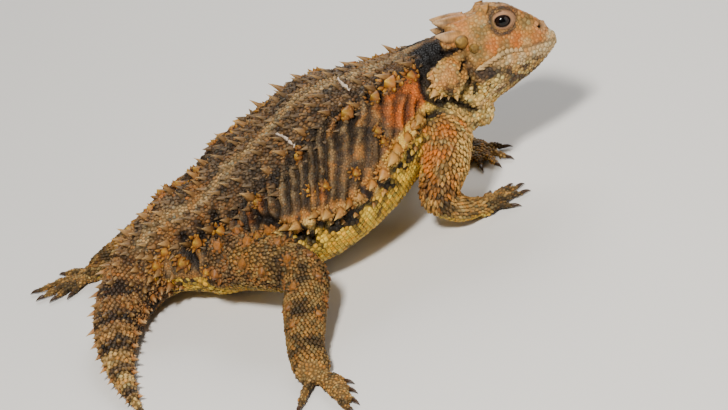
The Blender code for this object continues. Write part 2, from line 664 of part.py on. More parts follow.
def make_head(collection, scratch):
    """The head with its lids, brow and jaw thorns, cut for eyes, nostrils and ears."""
    front, left, top = head_axes()
    axes = Matrix((front, left, top)).transposed()
    head = head_core(collection)
    head.name = "head"
    head.data.materials.append(finish_of("head"))
    grown, cut = [], []
    for side, word in ((1, "left"), (-1, "right")):
        eye = eye_place(side)
        grown.append(add_object("lids", ball(eye, LID_SIZE, axes, 8, 14), scratch))
        behind, out, up, height, radius = BROW_SPINE
        backward, sideways, upward = BROW_SPINE_LEAN
        lean = unit_sum((-front, left, top), (backward, side * sideways, upward))
        brow = spine(head_point(behind, side * out, up), lean, height, radius, 6)
        grown.append(add_object("spine", brow, scratch))
        grown += jaw_spines(side, scratch)
        cut.append(add_object("socket", ball(eye, (EYE_RADIUS + GAP,) * 3, axes, 8, 12), scratch))
        opening = ball(eye + left * side * EYE_RADIUS, LID_OPENING, axes, 6, 12)
        cut.append(add_object("opening", opening, scratch))
        nostril = head_point(NOSTRIL_BEHIND_SNOUT, side * NOSTRIL_OUT, NOSTRIL_HEIGHT)
        cut.append(add_object("nostril", ball(nostril, NOSTRIL_SIZE, axes, 6, 8), scratch))
        behind, out, up = EAR
        slope = axes @ Matrix.Rotation(math.radians(EAR_SLANT), 3, "Y")
        ear = ball(head_point(behind, side * out, up), EAR_SIZE, slope, 6, 10)
        cut.append(add_object("ear", ear, scratch))
        eyeball = ball(eye, (EYE_RADIUS,) * 3, axes, 8, 12)
        add_object(f"eye_{word}", eyeball, collection, "eye").data.shade_smooth()
    combine(head, grown, "UNION")
    combine(head, cut, "DIFFERENCE")
    keep_largest(head)


def make_horns(collection, scratch):
    """Two horns behind the crown and three on each temple, their roots shaped to the head."""
    front, left, top = head_axes()
    for name, behind, out, up, length, radius, backward, sideways, upward in HORNS:
        for side, word in ((1, "left"), (-1, "right")):
            toward = unit_sum((-front, left, top), (backward, side * sideways, upward))
            base = head_point(behind, side * out, up)
            across = toward.cross(top).normalized()
            over = across.cross(toward)
            rings = []
            for share, thick, lift in HORN_RINGS:
                centre = base + (toward * share + top * lift) * length
                rings.append(round_ring(centre, across, over, radius * thick, HORN_SIDES))
            horn = add_object(f"{name}_{word}", loft(rings), collection, "horn")
            combine(horn, [head_core(scratch, HEAD_ROOM)], "DIFFERENCE")
            keep_largest(horn)


def leg_spines(rng, rows, first, last, collection):
    """Two rows of keeled thorns along the upper side of a length of a leg."""
    made = []
    for k in range(LEG_SPINES):
        t = first + (last - first) * (k + 0.6) / (LEG_SPINES + 0.2)
        for angle in LEG_SPINE_ANGLES:
            section = Section(rows, t, leg=True)
            turn = math.radians(angle + rng.uniform(-LEG_SPINE_SPREAD, LEG_SPINE_SPREAD))
            away = section.outward(turn)
            lean = (away + section.ahead * 0.7).normalized()
            tall = section.wide * LEG_SPINE_HEIGHT * rng.uniform(0.8, 1.2)
            thorn = spine(section.point(turn), lean, tall, section.wide * LEG_SPINE_RADIUS, 4)
            made.append(add_object("spine", thorn, collection))
    return made


def toe(start, ahead, length, collection):
    """A toe that arches from the foot to the floor and ends in a claw."""
    side, upward = Vector((-ahead.y, ahead.x, 0)), Vector((0, 0, 1))
    end = start + ahead * length
    line = [(start + ahead * length * f, high, thick * TOE_RADIUS) for f, high, thick in TOE_SHAPE]
    line += [(end + ahead * CLAW_LENGTH * f, high, thick) for f, high, thick in CLAW_SHAPE]
    rings = []
    for centre, height, radius in line:
        middle = Vector((centre.x, centre.y, height))
        rings.append(round_ring(middle, side, upward, radius, TOE_SIDES))
    return add_object("toe", loft(rings), collection)


def foot_forms(name, collection):
    """The palm or sole of a foot, and its toes."""
    x, y = LEGS[name][-1][:2]
    palm = Vector((x, y, PALM_HEIGHT))
    made = [add_object("palm", ball(palm, PALM_SIZE, None, 6, 12), collection)]
    for heading, length in TOES[name]:
        turn = math.radians(heading)
        ahead = Vector((math.cos(turn), math.sin(turn), 0))
        made.append(toe(palm + ahead * TOE_START, ahead, length - TOE_SHORTER, collection))
    return made


def make_leg(name, collection, scratch, rng):
    """One leg in three lengths: upper, lower, and the foot with its toes."""
    rows = LEGS[name]
    hind = name.startswith("hind")
    words = ("thigh", "shank", "foot") if hind else ("upper_arm", "forearm", "hand")
    last = len(rows) - 1
    for word, (first, end, steps) in zip(words, (*LEG_LENGTHS, (ANKLE, last, FOOT_STEPS))):
        start = first - (PARTING if first > 0 else 0)
        stop = end + (PARTING if end < last else 0)
        bm = loft(tube(rows, start, stop, steps, LEG_SIDES, leg=True))
        obj = add_object(f"{word}_{name}", bm, collection, "limb")
        if end < last:
            low = first + LEG_SPINE_MARGIN if first > 0 else LEG_SPINE_START
            joined = leg_spines(rng, rows, low, end - LEG_SPINE_MARGIN, scratch)
        else:
            joined = foot_forms(name, scratch)
        combine(obj, joined, "UNION")
        cutters = [floor_cutter(scratch)]
        if first > 0:
            cutters.append(end_cutter(rows, first, -1, scratch))
        else:
            low, high = station("tail_root"), station("nape")
            grown = tube(BODY_ROWS, low, high, 24, BODY_SIDES, grow=BODY_ROOM)
            cutters.append(add_object("body_room", loft(grown), scratch))
        if end < last:
            cutters.append(end_cutter(rows, end, 1, scratch))
        combine(obj, cutters, "DIFFERENCE")
        keep_largest(obj)


def stand_on_origin(collection):
    """Moves the model so that the middle of its box is over the origin."""
    bpy.context.view_layer.update()
    points = [v.co for obj in collection.objects for v in obj.data.vertices]
    low = Vector((min(p[i] for p in points) for i in range(3)))
    high = Vector((max(p[i] for p in points) for i in range(3)))
    middle = (low + high) / 2
    for obj in collection.objects:
        obj.data.transform(Matrix.Translation((-middle.x, -middle.y, 0)))


def main():
    clear_scene()
    lizard = new_collection("horned_lizard")
    scratch = new_collection("scratch")
    make_body(lizard, scratch)
    make_head(lizard, scratch)
    make_horns(lizard, scratch)
    rng = random.Random(SEED + 1)
    for name in LEGS:
        make_leg(name, lizard, scratch, rng)
    stand_on_origin(lizard)
    bpy.data.collections.remove(scratch)


main()
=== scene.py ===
"""The looks of the horned lizard: skin, scales, thorns, horns, eyes and claws, and the studio.

Lengths are in units of UNIT in a working frame, +X along the trunk to the head, +Y to the
animal's left, floor at 0, and every piece is moved to the frame's place when it is made.
"""

import math

import bmesh
import bpy
import numpy as np
from mathutils import Matrix, Vector, kdtree, noise
from mathutils.bvhtree import BVHTree


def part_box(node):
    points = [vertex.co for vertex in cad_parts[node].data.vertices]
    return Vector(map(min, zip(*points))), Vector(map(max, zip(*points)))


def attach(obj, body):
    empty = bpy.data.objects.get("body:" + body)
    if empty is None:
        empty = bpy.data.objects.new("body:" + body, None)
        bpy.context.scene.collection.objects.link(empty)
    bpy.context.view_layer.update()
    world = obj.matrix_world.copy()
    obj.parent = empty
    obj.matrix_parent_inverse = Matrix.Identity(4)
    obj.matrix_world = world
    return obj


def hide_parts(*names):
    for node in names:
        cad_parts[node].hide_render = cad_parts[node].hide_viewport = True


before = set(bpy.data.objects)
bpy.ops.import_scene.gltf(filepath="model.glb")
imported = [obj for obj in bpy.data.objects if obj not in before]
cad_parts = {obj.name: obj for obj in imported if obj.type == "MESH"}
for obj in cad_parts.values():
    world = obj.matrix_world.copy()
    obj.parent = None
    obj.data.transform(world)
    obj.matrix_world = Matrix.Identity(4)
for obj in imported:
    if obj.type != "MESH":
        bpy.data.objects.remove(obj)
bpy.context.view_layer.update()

# The trunk, neck and tail: one run of cross-sections from the tip of the tail to inside the
# head. It is flesh under loose skin, broad and flat, and the pelvis is rolled as it lies.
UNIT = 0.091 / 96  # metres in a ninety-sixth of the length from snout to vent
SCALE_DEPTH = 0.3  # how far the bare skin lies under the tops of its scales
TABLE_STEP = 0.02
# x, y, height of the widest line, half width, back above it, belly below it, roll
TRUNK_ROWS = (
    (-50.6, -42.5, 0.55, 0.30, 0.30, 0.5, 0),
    (-51.4, -33.0, 1.35, 1.4, 1.3, 1.5, 0),
    (-51.6, -23.5, 2.2, 2.7, 2.1, 2.4, 0),
    (-50.2, -13.0, 3.3, 4.3, 3.2, 3.5, 2),
    (-47.0, -3.8, 4.7, 5.8, 4.2, 4.9, 6),
    (-41.4, 2.6, 6.8, 7.6, 5.6, 5.6, 12),
    (-34.6, 4.6, 9.2, 10.6, 7.6, 6.6, 18),
    (-27.0, 4.2, 10.8, 14.6, 9.2, 7.6, 23),
    (-19.0, 2.8, 11.4, 18.6, 10.4, 8.6, 18),
    (-9.5, 1.6, 14.0, 23.4, 12.0, 11.4, 10),
    (1.0, 0.6, 16.2, 25.4, 14.4, 13.2, 5),
    (11.0, 0.0, 18.8, 23.2, 16.2, 13.4, 2),
    (20.0, 0.0, 21.2, 18.4, 13.0, 12.4, 0),
    (27.5, 0.0, 23.4, 13.6, 10.2, 13.6, -2),
    (34.0, 0.0, 25.6, 10.4, 8.4, 14.8, -6),
    (40.0, 0.0, 27.6, 9.0, 6.4, 13.0, -12),
    (46.0, 0.0, 29.4, 7.6, 5.2, 9.0, -18),
)
TAIL_SIDE, TAIL_ROOT, VENT, PELVIS, LOIN, PAUNCH = range(4, 10)
BREAST, SHOULDER, NECK, NAPE = range(12, 16)
TRUNK_RINGS, TRUNK_SIDES = 96, 40


def curve(rows, t):
    """The rows at fractional places t, on a smooth curve through all of them."""
    rows = np.asarray(rows, float)
    last = len(rows) - 1
    i = np.clip(np.floor(t).astype(int), 0, last - 1)
    f = (t - i)[:, None]
    a, b, c, d = (rows[np.clip(k, 0, last)] for k in (i - 1, i, i + 1, i + 2))
    return 0.5 * (2 * b + (c - a) * f + (2 * a - 5 * b + 4 * c - d) * f**2 + (3 * b - a - 3 * c + d) * f**3)


def unit(vectors):
    return vectors / np.maximum(np.linalg.norm(vectors, axis=-1, keepdims=True), 1e-9)


def form_of(rows, back=2.0, belly=2.0, ease=0.02):
    """A table of closely spaced cross-sections along the rows."""
    last = len(rows) - 1
    t = np.arange(0, last + TABLE_STEP / 2, TABLE_STEP)
    row = curve(rows, t)
    ahead = curve(rows, np.minimum(t + ease, last))[:, :3] - curve(rows, np.maximum(t - ease, 0))[:, :3]
    ahead = unit(ahead)
    side = unit(np.cross([0, 0, 1], ahead))
    top = np.cross(ahead, side)
    roll = np.radians(row[:, 6:7])
    side = side * np.cos(roll) + top * np.sin(roll)
    top = np.cross(ahead, side)
    speed = np.linalg.norm(np.gradient(row[:, :3], axis=0), axis=1)[:, None] / TABLE_STEP
    run = np.cumsum(speed, axis=0) * TABLE_STEP
    table = {"centre": row[:, :3], "ahead": ahead, "side": side, "top": top, "speed": speed, "run": run}
    table.update(wide=row[:, 3:4], up=row[:, 4:5], down=row[:, 5:6])
    return {"table": table, "last": last, "back": back, "belly": belly}


def look(form, t):
    """The cross-sections of a form at the places t."""
    share = np.clip(t, 0, form["last"]) / TABLE_STEP
    low = np.minimum(share.astype(int), len(form["table"]["wide"]) - 2)
    f = (share - low)[:, None]
    return {key: values[low] * (1 - f) + values[low + 1] * f for key, values in form["table"].items()}


def surface(form, t, angle, grow=0.0):
    """Points on a form at places t and angles from its left side, and the way each faces."""
    at = look(form, t)
    c, s = np.cos(angle)[:, None], np.sin(angle)[:, None]
    power = np.where(s > 0, form["back"], form["belly"])
    high = np.where(s > 0, at["up"], at["down"])
    out = np.copysign(np.abs(c) ** (2 / power), c) * at["wide"]
    up = np.copysign(np.abs(s) ** (2 / power), s) * high
    reach = np.hypot(out, up)
    share = np.maximum((reach + grow) / reach, 0.2)
    facing = unit(at["side"] * c / at["wide"] + at["top"] * s / high)
    return at["centre"] + (at["side"] * out + at["top"] * up) * share, facing


def rings_of(form, first, last, steps, sides, grow):
    angles = np.arange(sides) * 2 * math.pi / sides
    places = np.linspace(first, last, steps + 1)
    return [surface(form, np.full(sides, t), angles, grow)[0] for t in places]


def wrap(bm, rings):
    """A closed skin over rings of points: one ring drawn out through the others and capped."""
    order = bm.verts.layers.int.get("order") or bm.verts.layers.int.new("order")
    verts = bmesh.ops.create_circle(bm, segments=len(rings[0]), radius=1)["verts"]
    for number, vert in enumerate(verts):
        vert[order] = number
        vert.co = rings[0][number]
    edges = list(dict.fromkeys(edge for vert in verts for edge in vert.link_edges))
    start = edges
    for ring in rings[1:]:
        grown = bmesh.ops.extrude_edge_only(bm, edges=edges)["geom"]
        fresh = {item for item in grown if isinstance(item, bmesh.types.BMVert)}
        edges = [e for e in grown if isinstance(e, bmesh.types.BMEdge) and fresh.issuperset(e.verts)]
        for vert in fresh:
            vert.co = ring[vert[order]]
    bmesh.ops.edgeloop_fill(bm, edges=start)
    bmesh.ops.edgeloop_fill(bm, edges=edges)


trunk = form_of(TRUNK_ROWS, back=2.05, belly=2.5)
flesh = bmesh.new()
wrap(flesh, rings_of(trunk, 0.0, len(TRUNK_ROWS) - 1, TRUNK_RINGS, TRUNK_SIDES, -SCALE_DEPTH))

# The head: a short wedge with a brow ridge, flat cheeks, lips and a deep throat, turned and
# cocked to the right. Bone close under the skin, so its cross-sections have corners.
SNOUT = np.array((61.4, -4.2, 24.6))
HEAD_YAW, HEAD_PITCH, HEAD_ROLL = (math.radians(a) for a in (-11, -8, 19))
HEAD_LENGTH = 23.5
# distance behind the snout, then each height or half width from the mouth line there
HEAD_PLACES = (0, 1.1, 2.1, 4.6, 7.2, 9.2, 11.2, 12.6, 14.6, 15.5, 16.2, 18, 20.5, 23.5)
HEAD_LINES = {
    "crown": (1.6, 2.4, 3.8, 6.3, 8.0, 9.1, 9.4, 9.6, 9.8, 9.8, 9.0, 8.8, 8.5, 8.2),
    "brow": (1.2, 2.1, 3.2, 6.0, 7.9, 9.4, 9.8, 10.1, 10.5, 10.5, 9.0, 8.6, 8.0, 7.6),
    "brow_out": (0.9, 1.6, 2.3, 3.9, 5.6, 6.9, 7.3, 7.5, 7.9, 8.0, 8.1, 8.2, 8.0, 7.6),
    "orbit": (0.8, 1.5, 2.2, 3.6, 4.6, 5.3, 5.5, 5.6, 5.8, 5.6, 5.4, 4.9, 4.5, 4.2),
    "orbit_out": (1.2, 2.1, 2.9, 4.5, 5.9, 6.9, 7.6, 8.1, 8.8, 9.2, 9.5, 10.2, 9.8, 9.2),
    "lip": (0, 0, 0, -0.05, -0.1, 0.1, 0.4, 0.1, -0.6, -0.95, -1.2, -2.0, -2.5, -3.0),
    "lip_out": (1.3, 2.5, 3.5, 5.5, 7.1, 8.2, 9.0, 9.5, 10.2, 10.4, 10.5, 10.8, 10.1, 9.2),
    "jaw_out": (0.9, 2.0, 3.0, 4.9, 6.5, 7.6, 8.4, 8.9, 9.6, 9.6, 9.65, 9.7, 9.1, 8.4),
    "throat": (-1.2, -2.3, -3.2, -5.2, -6.8, -7.7, -8.8, -9.4, -10.4, -11.1, -11.6, -12.4, -13.0, -12.0),
    "throat_out": (0.5, 1.1, 1.6, 2.8, 4.0, 4.5, 5.1, 5.5, 5.6, 5.6, 5.5, 5.5, 5.4, 5.6),
}
MOUTH_GROOVE = 0.7
HEAD_RINGS = 48
head_front = np.array(
    (
        math.cos(HEAD_PITCH) * math.cos(HEAD_YAW),
        math.cos(HEAD_PITCH) * math.sin(HEAD_YAW),
        math.sin(HEAD_PITCH),
    )
)
level_left = Vector((0, 0, 1)).cross(Vector(head_front)).normalized()
head_left = np.array(Matrix.Rotation(-HEAD_ROLL, 3, Vector(head_front)) @ level_left)
head_top = np.cross(head_front, head_left)


def head_point(behind, out, up):
    """The place at a distance behind the snout, out from the midline and up from the mouth."""
    return SNOUT - head_front * behind + head_left * out + head_top * up


def head_line(name, d):
    """One of the head's lines at a distance behind the snout."""
    return np.interp(d, HEAD_PLACES, HEAD_LINES[name])


def head_ring(d, grow):
    """One cross-section of the head, from the crown down the left side and up the right."""
    v = {name: float(head_line(name, d)) for name in HEAD_LINES}
    groove = MOUTH_GROOVE * max(0, min(1, (20 - d) / 4, (d + 0.6) / 1.5))
    lips = 0.4 * min(1, (d + 0.5) / 3)
    half = (
        (0, v["crown"]),
        (v["brow_out"] * 0.55, (v["crown"] + v["brow"]) / 2),
        (v["brow_out"], v["brow"]),
        ((v["brow_out"] + v["orbit_out"]) / 2 - 0.25, (v["brow"] + v["orbit"]) / 2),
        (v["orbit_out"], v["orbit"]),
        ((v["orbit_out"] + v["lip_out"]) / 2, (v["orbit"] + v["lip"]) / 2),
        (v["lip_out"], v["lip"] + lips),
        (v["lip_out"] - groove, v["lip"]),
        (v["jaw_out"], v["lip"] - lips),
        (v["jaw_out"] * 0.98, v["lip"] * 0.7 + v["throat"] * 0.3),
        (v["throat_out"], v["throat"] * 0.78 + v["lip"] * 0.06),
        (v["throat_out"] * 0.5, v["throat"] * 0.97),
        (0, v["throat"]),
    )
    grown = []
    for out, up in half:
        reach = max(math.hypot(out, up), 0.1)
        share = max((reach + grow) / reach, 0.4)
        grown.append((out * share, up * share))
    ring = grown + [(-out, up) for out, up in reversed(grown[1:-1])]
    return np.array([head_point(d, out, up) for out, up in ring])


wrap(flesh, [head_ring(d, -SCALE_DEPTH) for d in np.linspace(0.1, HEAD_LENGTH, HEAD_RINGS)])


# Loose skin of the throat and neck: the flap that hangs under the jaw, the swelling behind
# each ear that carries thorns, and the ridge of skin that runs up from it behind the cheek.
HEAD_AXES = (head_front, head_left, head_top)
FLAP_PLACE, FLAP_SIZE = (18.6, 0.0, -12.7), (2.7, 4.1, 2.9)
NECK_FOLD_PLACE, NECK_FOLD_ANGLE, NECK_FOLD_SIZE = NECK + 0.3, 6, (4.7, 3.4, 4.2)
RIDGE_PLACE, RIDGE_SIZE = (24.6, 8.0, 1.6), (0.9, 1.4, 3.8)
NOSE_PLACE, NOSE_SIZE = (3.1, 2.2, 3.4), (1.15, 0.9, 1.1)


def turn_to(axes):
    """The turn that lays x, y and z along three axes."""
    return Matrix([[axis[i] for axis in axes] for i in range(3)]).to_4x4()


def add_ball(bm, centre, radii, axes):
    """A rounded swelling of the flesh, with its half sizes along three axes."""
    place = Matrix.Translation(Vector(centre)) @ turn_to(axes) @ Matrix.Diagonal((*radii, 1))
    bmesh.ops.create_uvsphere(bm, u_segments=24, v_segments=16, radius=1, matrix=place)


def neck_fold(side, grow):
    """The middle of the neck's swelling on one side, so far above the trunk's surface."""
    angle = math.radians(NECK_FOLD_ANGLE if side == 1 else 180 - NECK_FOLD_ANGLE)
    return surface(trunk, np.array([NECK_FOLD_PLACE]), np.array([angle]), grow)[0][0]


add_ball(flesh, head_point(*FLAP_PLACE), FLAP_SIZE, HEAD_AXES)
neck_at = {key: value[0] for key, value in look(trunk, np.array([NECK_FOLD_PLACE])).items()}
neck_axes = (neck_at["ahead"], neck_at["side"], neck_at["top"])
for side in (1, -1):
    add_ball(flesh, neck_fold(side, -0.4), NECK_FOLD_SIZE, neck_axes)
    behind, out, up = RIDGE_PLACE
    add_ball(flesh, head_point(behind, side * out, up), RIDGE_SIZE, HEAD_AXES)
    behind, out, up = NOSE_PLACE
    add_ball(flesh, head_point(behind, side * out, up), NOSE_SIZE, HEAD_AXES)

# The legs: muscle and loose skin over two long bones, then a small flat palm or sole. The
# forelegs prop up the chest, and the right hind leg is thrown out to the side.
# x, y, z, half width, half height, from inside the body to the palm
LEG_ROWS = {
    "front_right": (
        (28.0, -5.5, 20.5, 5.6, 5.6),
        (30.0, -12.4, 17.8, 5.5, 5.6),
        (27.4, -16.8, 13.0, 5.0, 5.0),
        (24.0, -19.0, 8.0, 4.1, 4.1),
        (26.6, -20.0, 4.5, 3.1, 3.1),
        (29.4, -19.6, 2.9, 2.6, 2.5),
        (32.4, -18.2, 1.8, 2.7, 1.7),
    ),
    "front_left": (
        (28.0, 5.5, 20.5, 5.5, 5.5),
        (29.4, 12.4, 17.4, 5.3, 5.4),
        (27.4, 18.2, 12.6, 4.7, 4.9),
        (26.8, 21.4, 8.6, 3.5, 3.6),
        (31.6, 18.8, 5.0, 2.9, 3.0),
        (35.8, 13.0, 3.2, 2.5, 2.4),
        (39.0, 8.6, 1.8, 2.6, 1.7),
    ),
    "hind_right": (
        (-25.4, -2.0, 8.4, 5.2, 4.8),
        (-21.6, -11.4, 9.8, 6.3, 6.2),
        (-15.2, -21.6, 11.2, 5.9, 5.9),
        (-9.8, -31.2, 9.8, 4.8, 4.9),
        (-12.8, -39.0, 7.0, 4.4, 4.4),
        (-16.0, -47.6, 3.9, 3.8, 3.4),
        (-16.8, -54.0, 2.0, 3.8, 1.9),
    ),
    "hind_left": (
        (-27.0, 5.0, 10.6, 6.2, 5.8),
        (-25.6, 15.0, 9.4, 5.9, 5.6),
        (-25.8, 23.0, 7.4, 5.2, 4.9),
        (-30.4, 28.2, 5.6, 4.4, 4.2),
        (-37.2, 25.4, 5.0, 3.8, 3.7),
        (-43.8, 24.4, 3.9, 3.2, 3.0),
        (-48.8, 26.4, 2.0, 3.4, 1.9),
    ),
}
LEG_RINGS, LEG_SIDES = 48, 24
PALM_HEIGHT, PALM_SIZE = 1.35, (3.2, 3.2, 1.5)
legs = {
    name: form_of([(*row[:4], row[4], row[4], 0) for row in rows], ease=0.8)
    for name, rows in LEG_ROWS.items()
}
palms = {name: np.array((*rows[-1][:2], PALM_HEIGHT)) for name, rows in LEG_ROWS.items()}
for name, leg in legs.items():
    wrap(flesh, rings_of(leg, 0.0, leg["last"], LEG_RINGS, LEG_SIDES, -SCALE_DEPTH * 0.8))
    add_ball(flesh, palms[name], PALM_SIZE, np.eye(3))

# The toes: five to a foot, slim and jointed, each arched from the sole down to its claw. The
# fourth of the hind foot is the longest.
# heading in degrees in plan and length, from the innermost outwards
TOES = {
    "front_right": ((62, 5.2), (36, 7.8), (22, 8.6), (2, 7.8), (-32, 5.2)),
    "front_left": ((-124, 5.0), (-98, 7.2), (-78, 9.0), (-60, 9.0), (-30, 6.0)),
    "hind_right": ((-52, 7.0), (-64, 10.0), (-73, 13.6), (-81, 16.2), (-124, 9.2)),
    "hind_left": ((214, 6.6), (196, 9.4), (180, 11.6), (164, 12.8), (134, 8.0)),
}
TOE_RADIUS, TOE_START, TOE_JOINTS = 0.86, 2.2, 4
TOE_RINGS, TOE_SIDES, CLAW_ROOM = 23, 10, 1.2
# share of the length, height of the middle, thickness
TOE_SHAPE = ((-0.1, 1.0, 1.05), (0.25, 1.35, 1.0), (0.55, 1.30, 0.92), (0.85, 0.85, 0.82), (1.0, 0.62, 0.62))


def toe_lines():
    """Each toe as its foot, root, heading and length."""
    for name, toes in TOES.items():
        for degrees, length in toes:
            ahead = np.array((math.cos(math.radians(degrees)), math.sin(math.radians(degrees)), 0))
            yield name, palms[name] + ahead * TOE_START, ahead, length - CLAW_ROOM


def profile(rows, share, column):
    """A column of a table at a share of the length, which the first column holds."""
    return np.interp(share, [row[0] for row in rows], [row[column] for row in rows])


def round_ring(centre, across, over, radius, sides):
    angles = np.arange(sides)[:, None] * 2 * math.pi / sides
    return centre + (across * np.cos(angles) + over * np.sin(angles)) * radius


UPWARD = np.array((0.0, 0.0, 1.0))
for name, root, ahead, length in toe_lines():
    across = np.cross(UPWARD, ahead)
    rings = []
    for share in np.linspace(-0.1, 1.0, TOE_RINGS):
        swell = 1 + 0.1 * math.cos(share * TOE_JOINTS * 2 * math.pi)
        centre = root + ahead * length * share
        centre[2] = profile(TOE_SHAPE, share, 1)
        thick = TOE_RADIUS * profile(TOE_SHAPE, share, 2) * swell
        rings.append(round_ring(centre, across, UPWARD, thick, TOE_SIDES))
    wrap(flesh, rings)

# The skin: one closed sheet over all the flesh, drawn smooth where the limbs join, that lies
# just inside the solids. Its sheet is found here, and its folds and colours below.
SKIN_GRAIN = 0.458  # spacing of its points


def mesh_from(bm, name):
    mesh = bpy.data.meshes.new(name)
    bm.to_mesh(mesh)
    bm.free()
    return mesh


def evaluated(obj):
    """The mesh that an object's modifiers make of it."""
    graph = bpy.context.evaluated_depsgraph_get()
    mesh = bpy.data.meshes.new_from_object(obj.evaluated_get(graph))
    obj.modifiers.clear()
    return mesh


bmesh.ops.recalc_face_normals(flesh, faces=flesh.faces)
skin = bpy.data.objects.new("skin", mesh_from(flesh, "skin"))
bpy.context.scene.collection.objects.link(skin)
remesh = skin.modifiers.new("sheet", "REMESH")
remesh.mode = "VOXEL"
remesh.voxel_size = SKIN_GRAIN
ease = skin.modifiers.new("ease", "SMOOTH")
ease.factor = 0.5
ease.iterations = 4
skin.data = evaluated(skin)


def mesh_points(mesh):
    points = np.empty(len(mesh.vertices) * 3)
    mesh.vertices.foreach_get("co", points)
    return points.reshape(-1, 3)


def mesh_normals(mesh):
    normals = np.empty(len(mesh.vertices) * 3)
    mesh.vertices.foreach_get("normal", normals)
    return normals.reshape(-1, 3)


points = mesh_points(skin.data)
normals = mesh_normals(skin.data)

# Where each point of the skin is on the animal: which part it belongs to, how far along that
# part, and how far round it. The folds, colours and rows of scales all follow these.
# the legs are parts 2 to 5, in the order of LEG_ROWS
BODY_PART, HEAD_PART, FIRST_LEG, FOOT_PART = 0, 1, 2, 6
samples = []
for t in np.arange(0, NAPE + 0.6, 0.1):
    ring = surface(trunk, np.full(44, t), np.arange(44) * 2 * math.pi / 44)[0]
    samples += [(point, BODY_PART, t) for point in ring]
for d in np.arange(0, HEAD_LENGTH, 0.6):
    samples += [(point, HEAD_PART, 0) for point in head_ring(d, 0)]
for number, (name, leg) in enumerate(legs.items()):
    for t in np.arange(1.0, 5.5, 0.1):
        ring = surface(leg, np.full(20, t), np.arange(20) * 2 * math.pi / 20)[0]
        samples += [(point, FIRST_LEG + number, t) for point in ring]
for name, root, ahead, length in toe_lines():
    for share in np.linspace(-0.4, 1.0, 15):
        for height in (0.2, 2.4):
            centre = root + ahead * length * share
            samples.append((np.array((centre[0], centre[1], height)), FOOT_PART, 0))


def tree_of(places):
    tree = kdtree.KDTree(len(places))
    for number, place in enumerate(places):
        tree.insert(place, number)
    tree.balance()
    return tree


sample_tree = tree_of([sample[0] for sample in samples])
nearest = [sample_tree.find(point)[1] for point in points]
part = np.array([samples[k][1] for k in nearest])
along = np.array([samples[k][2] for k in nearest], float)
turned = np.zeros(len(points))


def settle(form, places, t):
    """The exact place along a form and angle round it of points that lie near it."""
    for _ in range(4):
        at = look(form, t)
        gain = np.sum((places - at["centre"]) * at["ahead"], axis=1) / at["speed"][:, 0]
        t = np.clip(t + gain, 0, form["last"])
    at = look(form, t)
    away = places - at["centre"]
    up = np.sum(away * at["top"], axis=1)
    out = np.sum(away * at["side"], axis=1)
    high = np.where(up > 0, at["up"][:, 0], at["down"][:, 0])
    return t, np.arctan2(up / high, out / at["wide"][:, 0])


forms = {BODY_PART: trunk, **{FIRST_LEG + k: leg for k, leg in enumerate(legs.values())}}
for number, form in forms.items():
    here = part == number
    along[here], turned[here] = settle(form, points[here], along[here])
# degrees off the midline of the back or of the leg's upper side
off = np.degrees(np.abs((turned - math.pi / 2 + math.pi) % (2 * math.pi) - math.pi))
head_place = (points - SNOUT) @ np.array((-head_front, head_left, head_top)).T
behind, head_out, head_up = head_place[:, 0], np.abs(head_place[:, 1]), head_place[:, 2]
is_body, is_head, is_foot = part == BODY_PART, part == HEAD_PART, part == FOOT_PART
is_leg = (part > HEAD_PART) & (part < FOOT_PART)
trunk_at = look(trunk, np.where(is_body, along, 0.0))
run = trunk_at["run"][:, 0]
# distance round from the midline
girth = np.radians(off) * (trunk_at["wide"][:, 0] + trunk_at["up"][:, 0]) / 2


def step(value, low, high):
    """A soft step, from 0 at low to 1 at high."""
    share = np.clip((value - low) / (high - low), 0, 1)
    return share * share * (3 - 2 * share)


def band(value, low, high, soft):
    return step(value, low - soft, low) * step(value, high + soft, high)


def mottle(places, size, shift=0.0):
    """Cloudy values between about -1 and 1, in patches of a given size."""
    return np.array([noise.noise(Vector(place) / size + Vector((shift, 0, 0))) for place in places]) * 2


# The folds: loose skin that hangs in upright pleats on the flanks, wrinkles the neck and gathers
# where the limbs bend. The furrows are narrow and darkened with painted shade, and the pleats between are
# round.
PLEAT_SPACING, PLEAT_DEPTH, PLEAT_SLANT = 2.9, 1.25, 0.6
# the long creases: points along each, depth, half width, and whether the left side has its like
CREASES = (
    (
        (
            (30.9, -6.5, 31.1), (31.3, -9.6, 28.7), (33.4, -10.7, 25.2),
            (36.0, -10.0, 22.0), (38.4, -9.0, 18.6),
        ),
        1.3, 0.8, True,
    ),
    (((40.3, -8.0, 33.2), (40.3, -10.0, 29.6), (40.2, -11.2, 26.4), (40.2, -9.3, 22.2)), 0.8, 0.6, True),
    (((27.2, -13.2, 24.0), (31.0, -12.8, 23.4), (33.1, -14.6, 21.4), (34.4, -15.4, 18.0)), 1.0, 0.7, True),
    (((29.0, -11.5, 26.6), (33.0, -11.6, 22.6), (36.0, -10.4, 18.6)), 0.6, 0.6, True),
    (
        (
            (-14.4, -14.6, 19.4), (-11.0, -18.6, 18.0), (-9.3, -20.8, 16.7),
            (-6.6, -22.5, 15.0), (-4.6, -23.4, 12.0),
        ),
        1.3, 0.9, False,
    ),
    (((-20.6, -5.6, 18.0), (-21.4, -12.0, 16.4), (-21.9, -18.2, 12.6)), 1.3, 1.0, False),
    (((-24.4, -5.0, 17.4), (-25.6, -11.0, 14.4), (-26.4, -15.6, 9.6)), 1.2, 0.9, False),
    (((-28.6, -4.4, 15.8), (-29.6, -9.6, 11.6), (-29.8, -11.2, 7.0)), 1.1, 0.9, False),
)
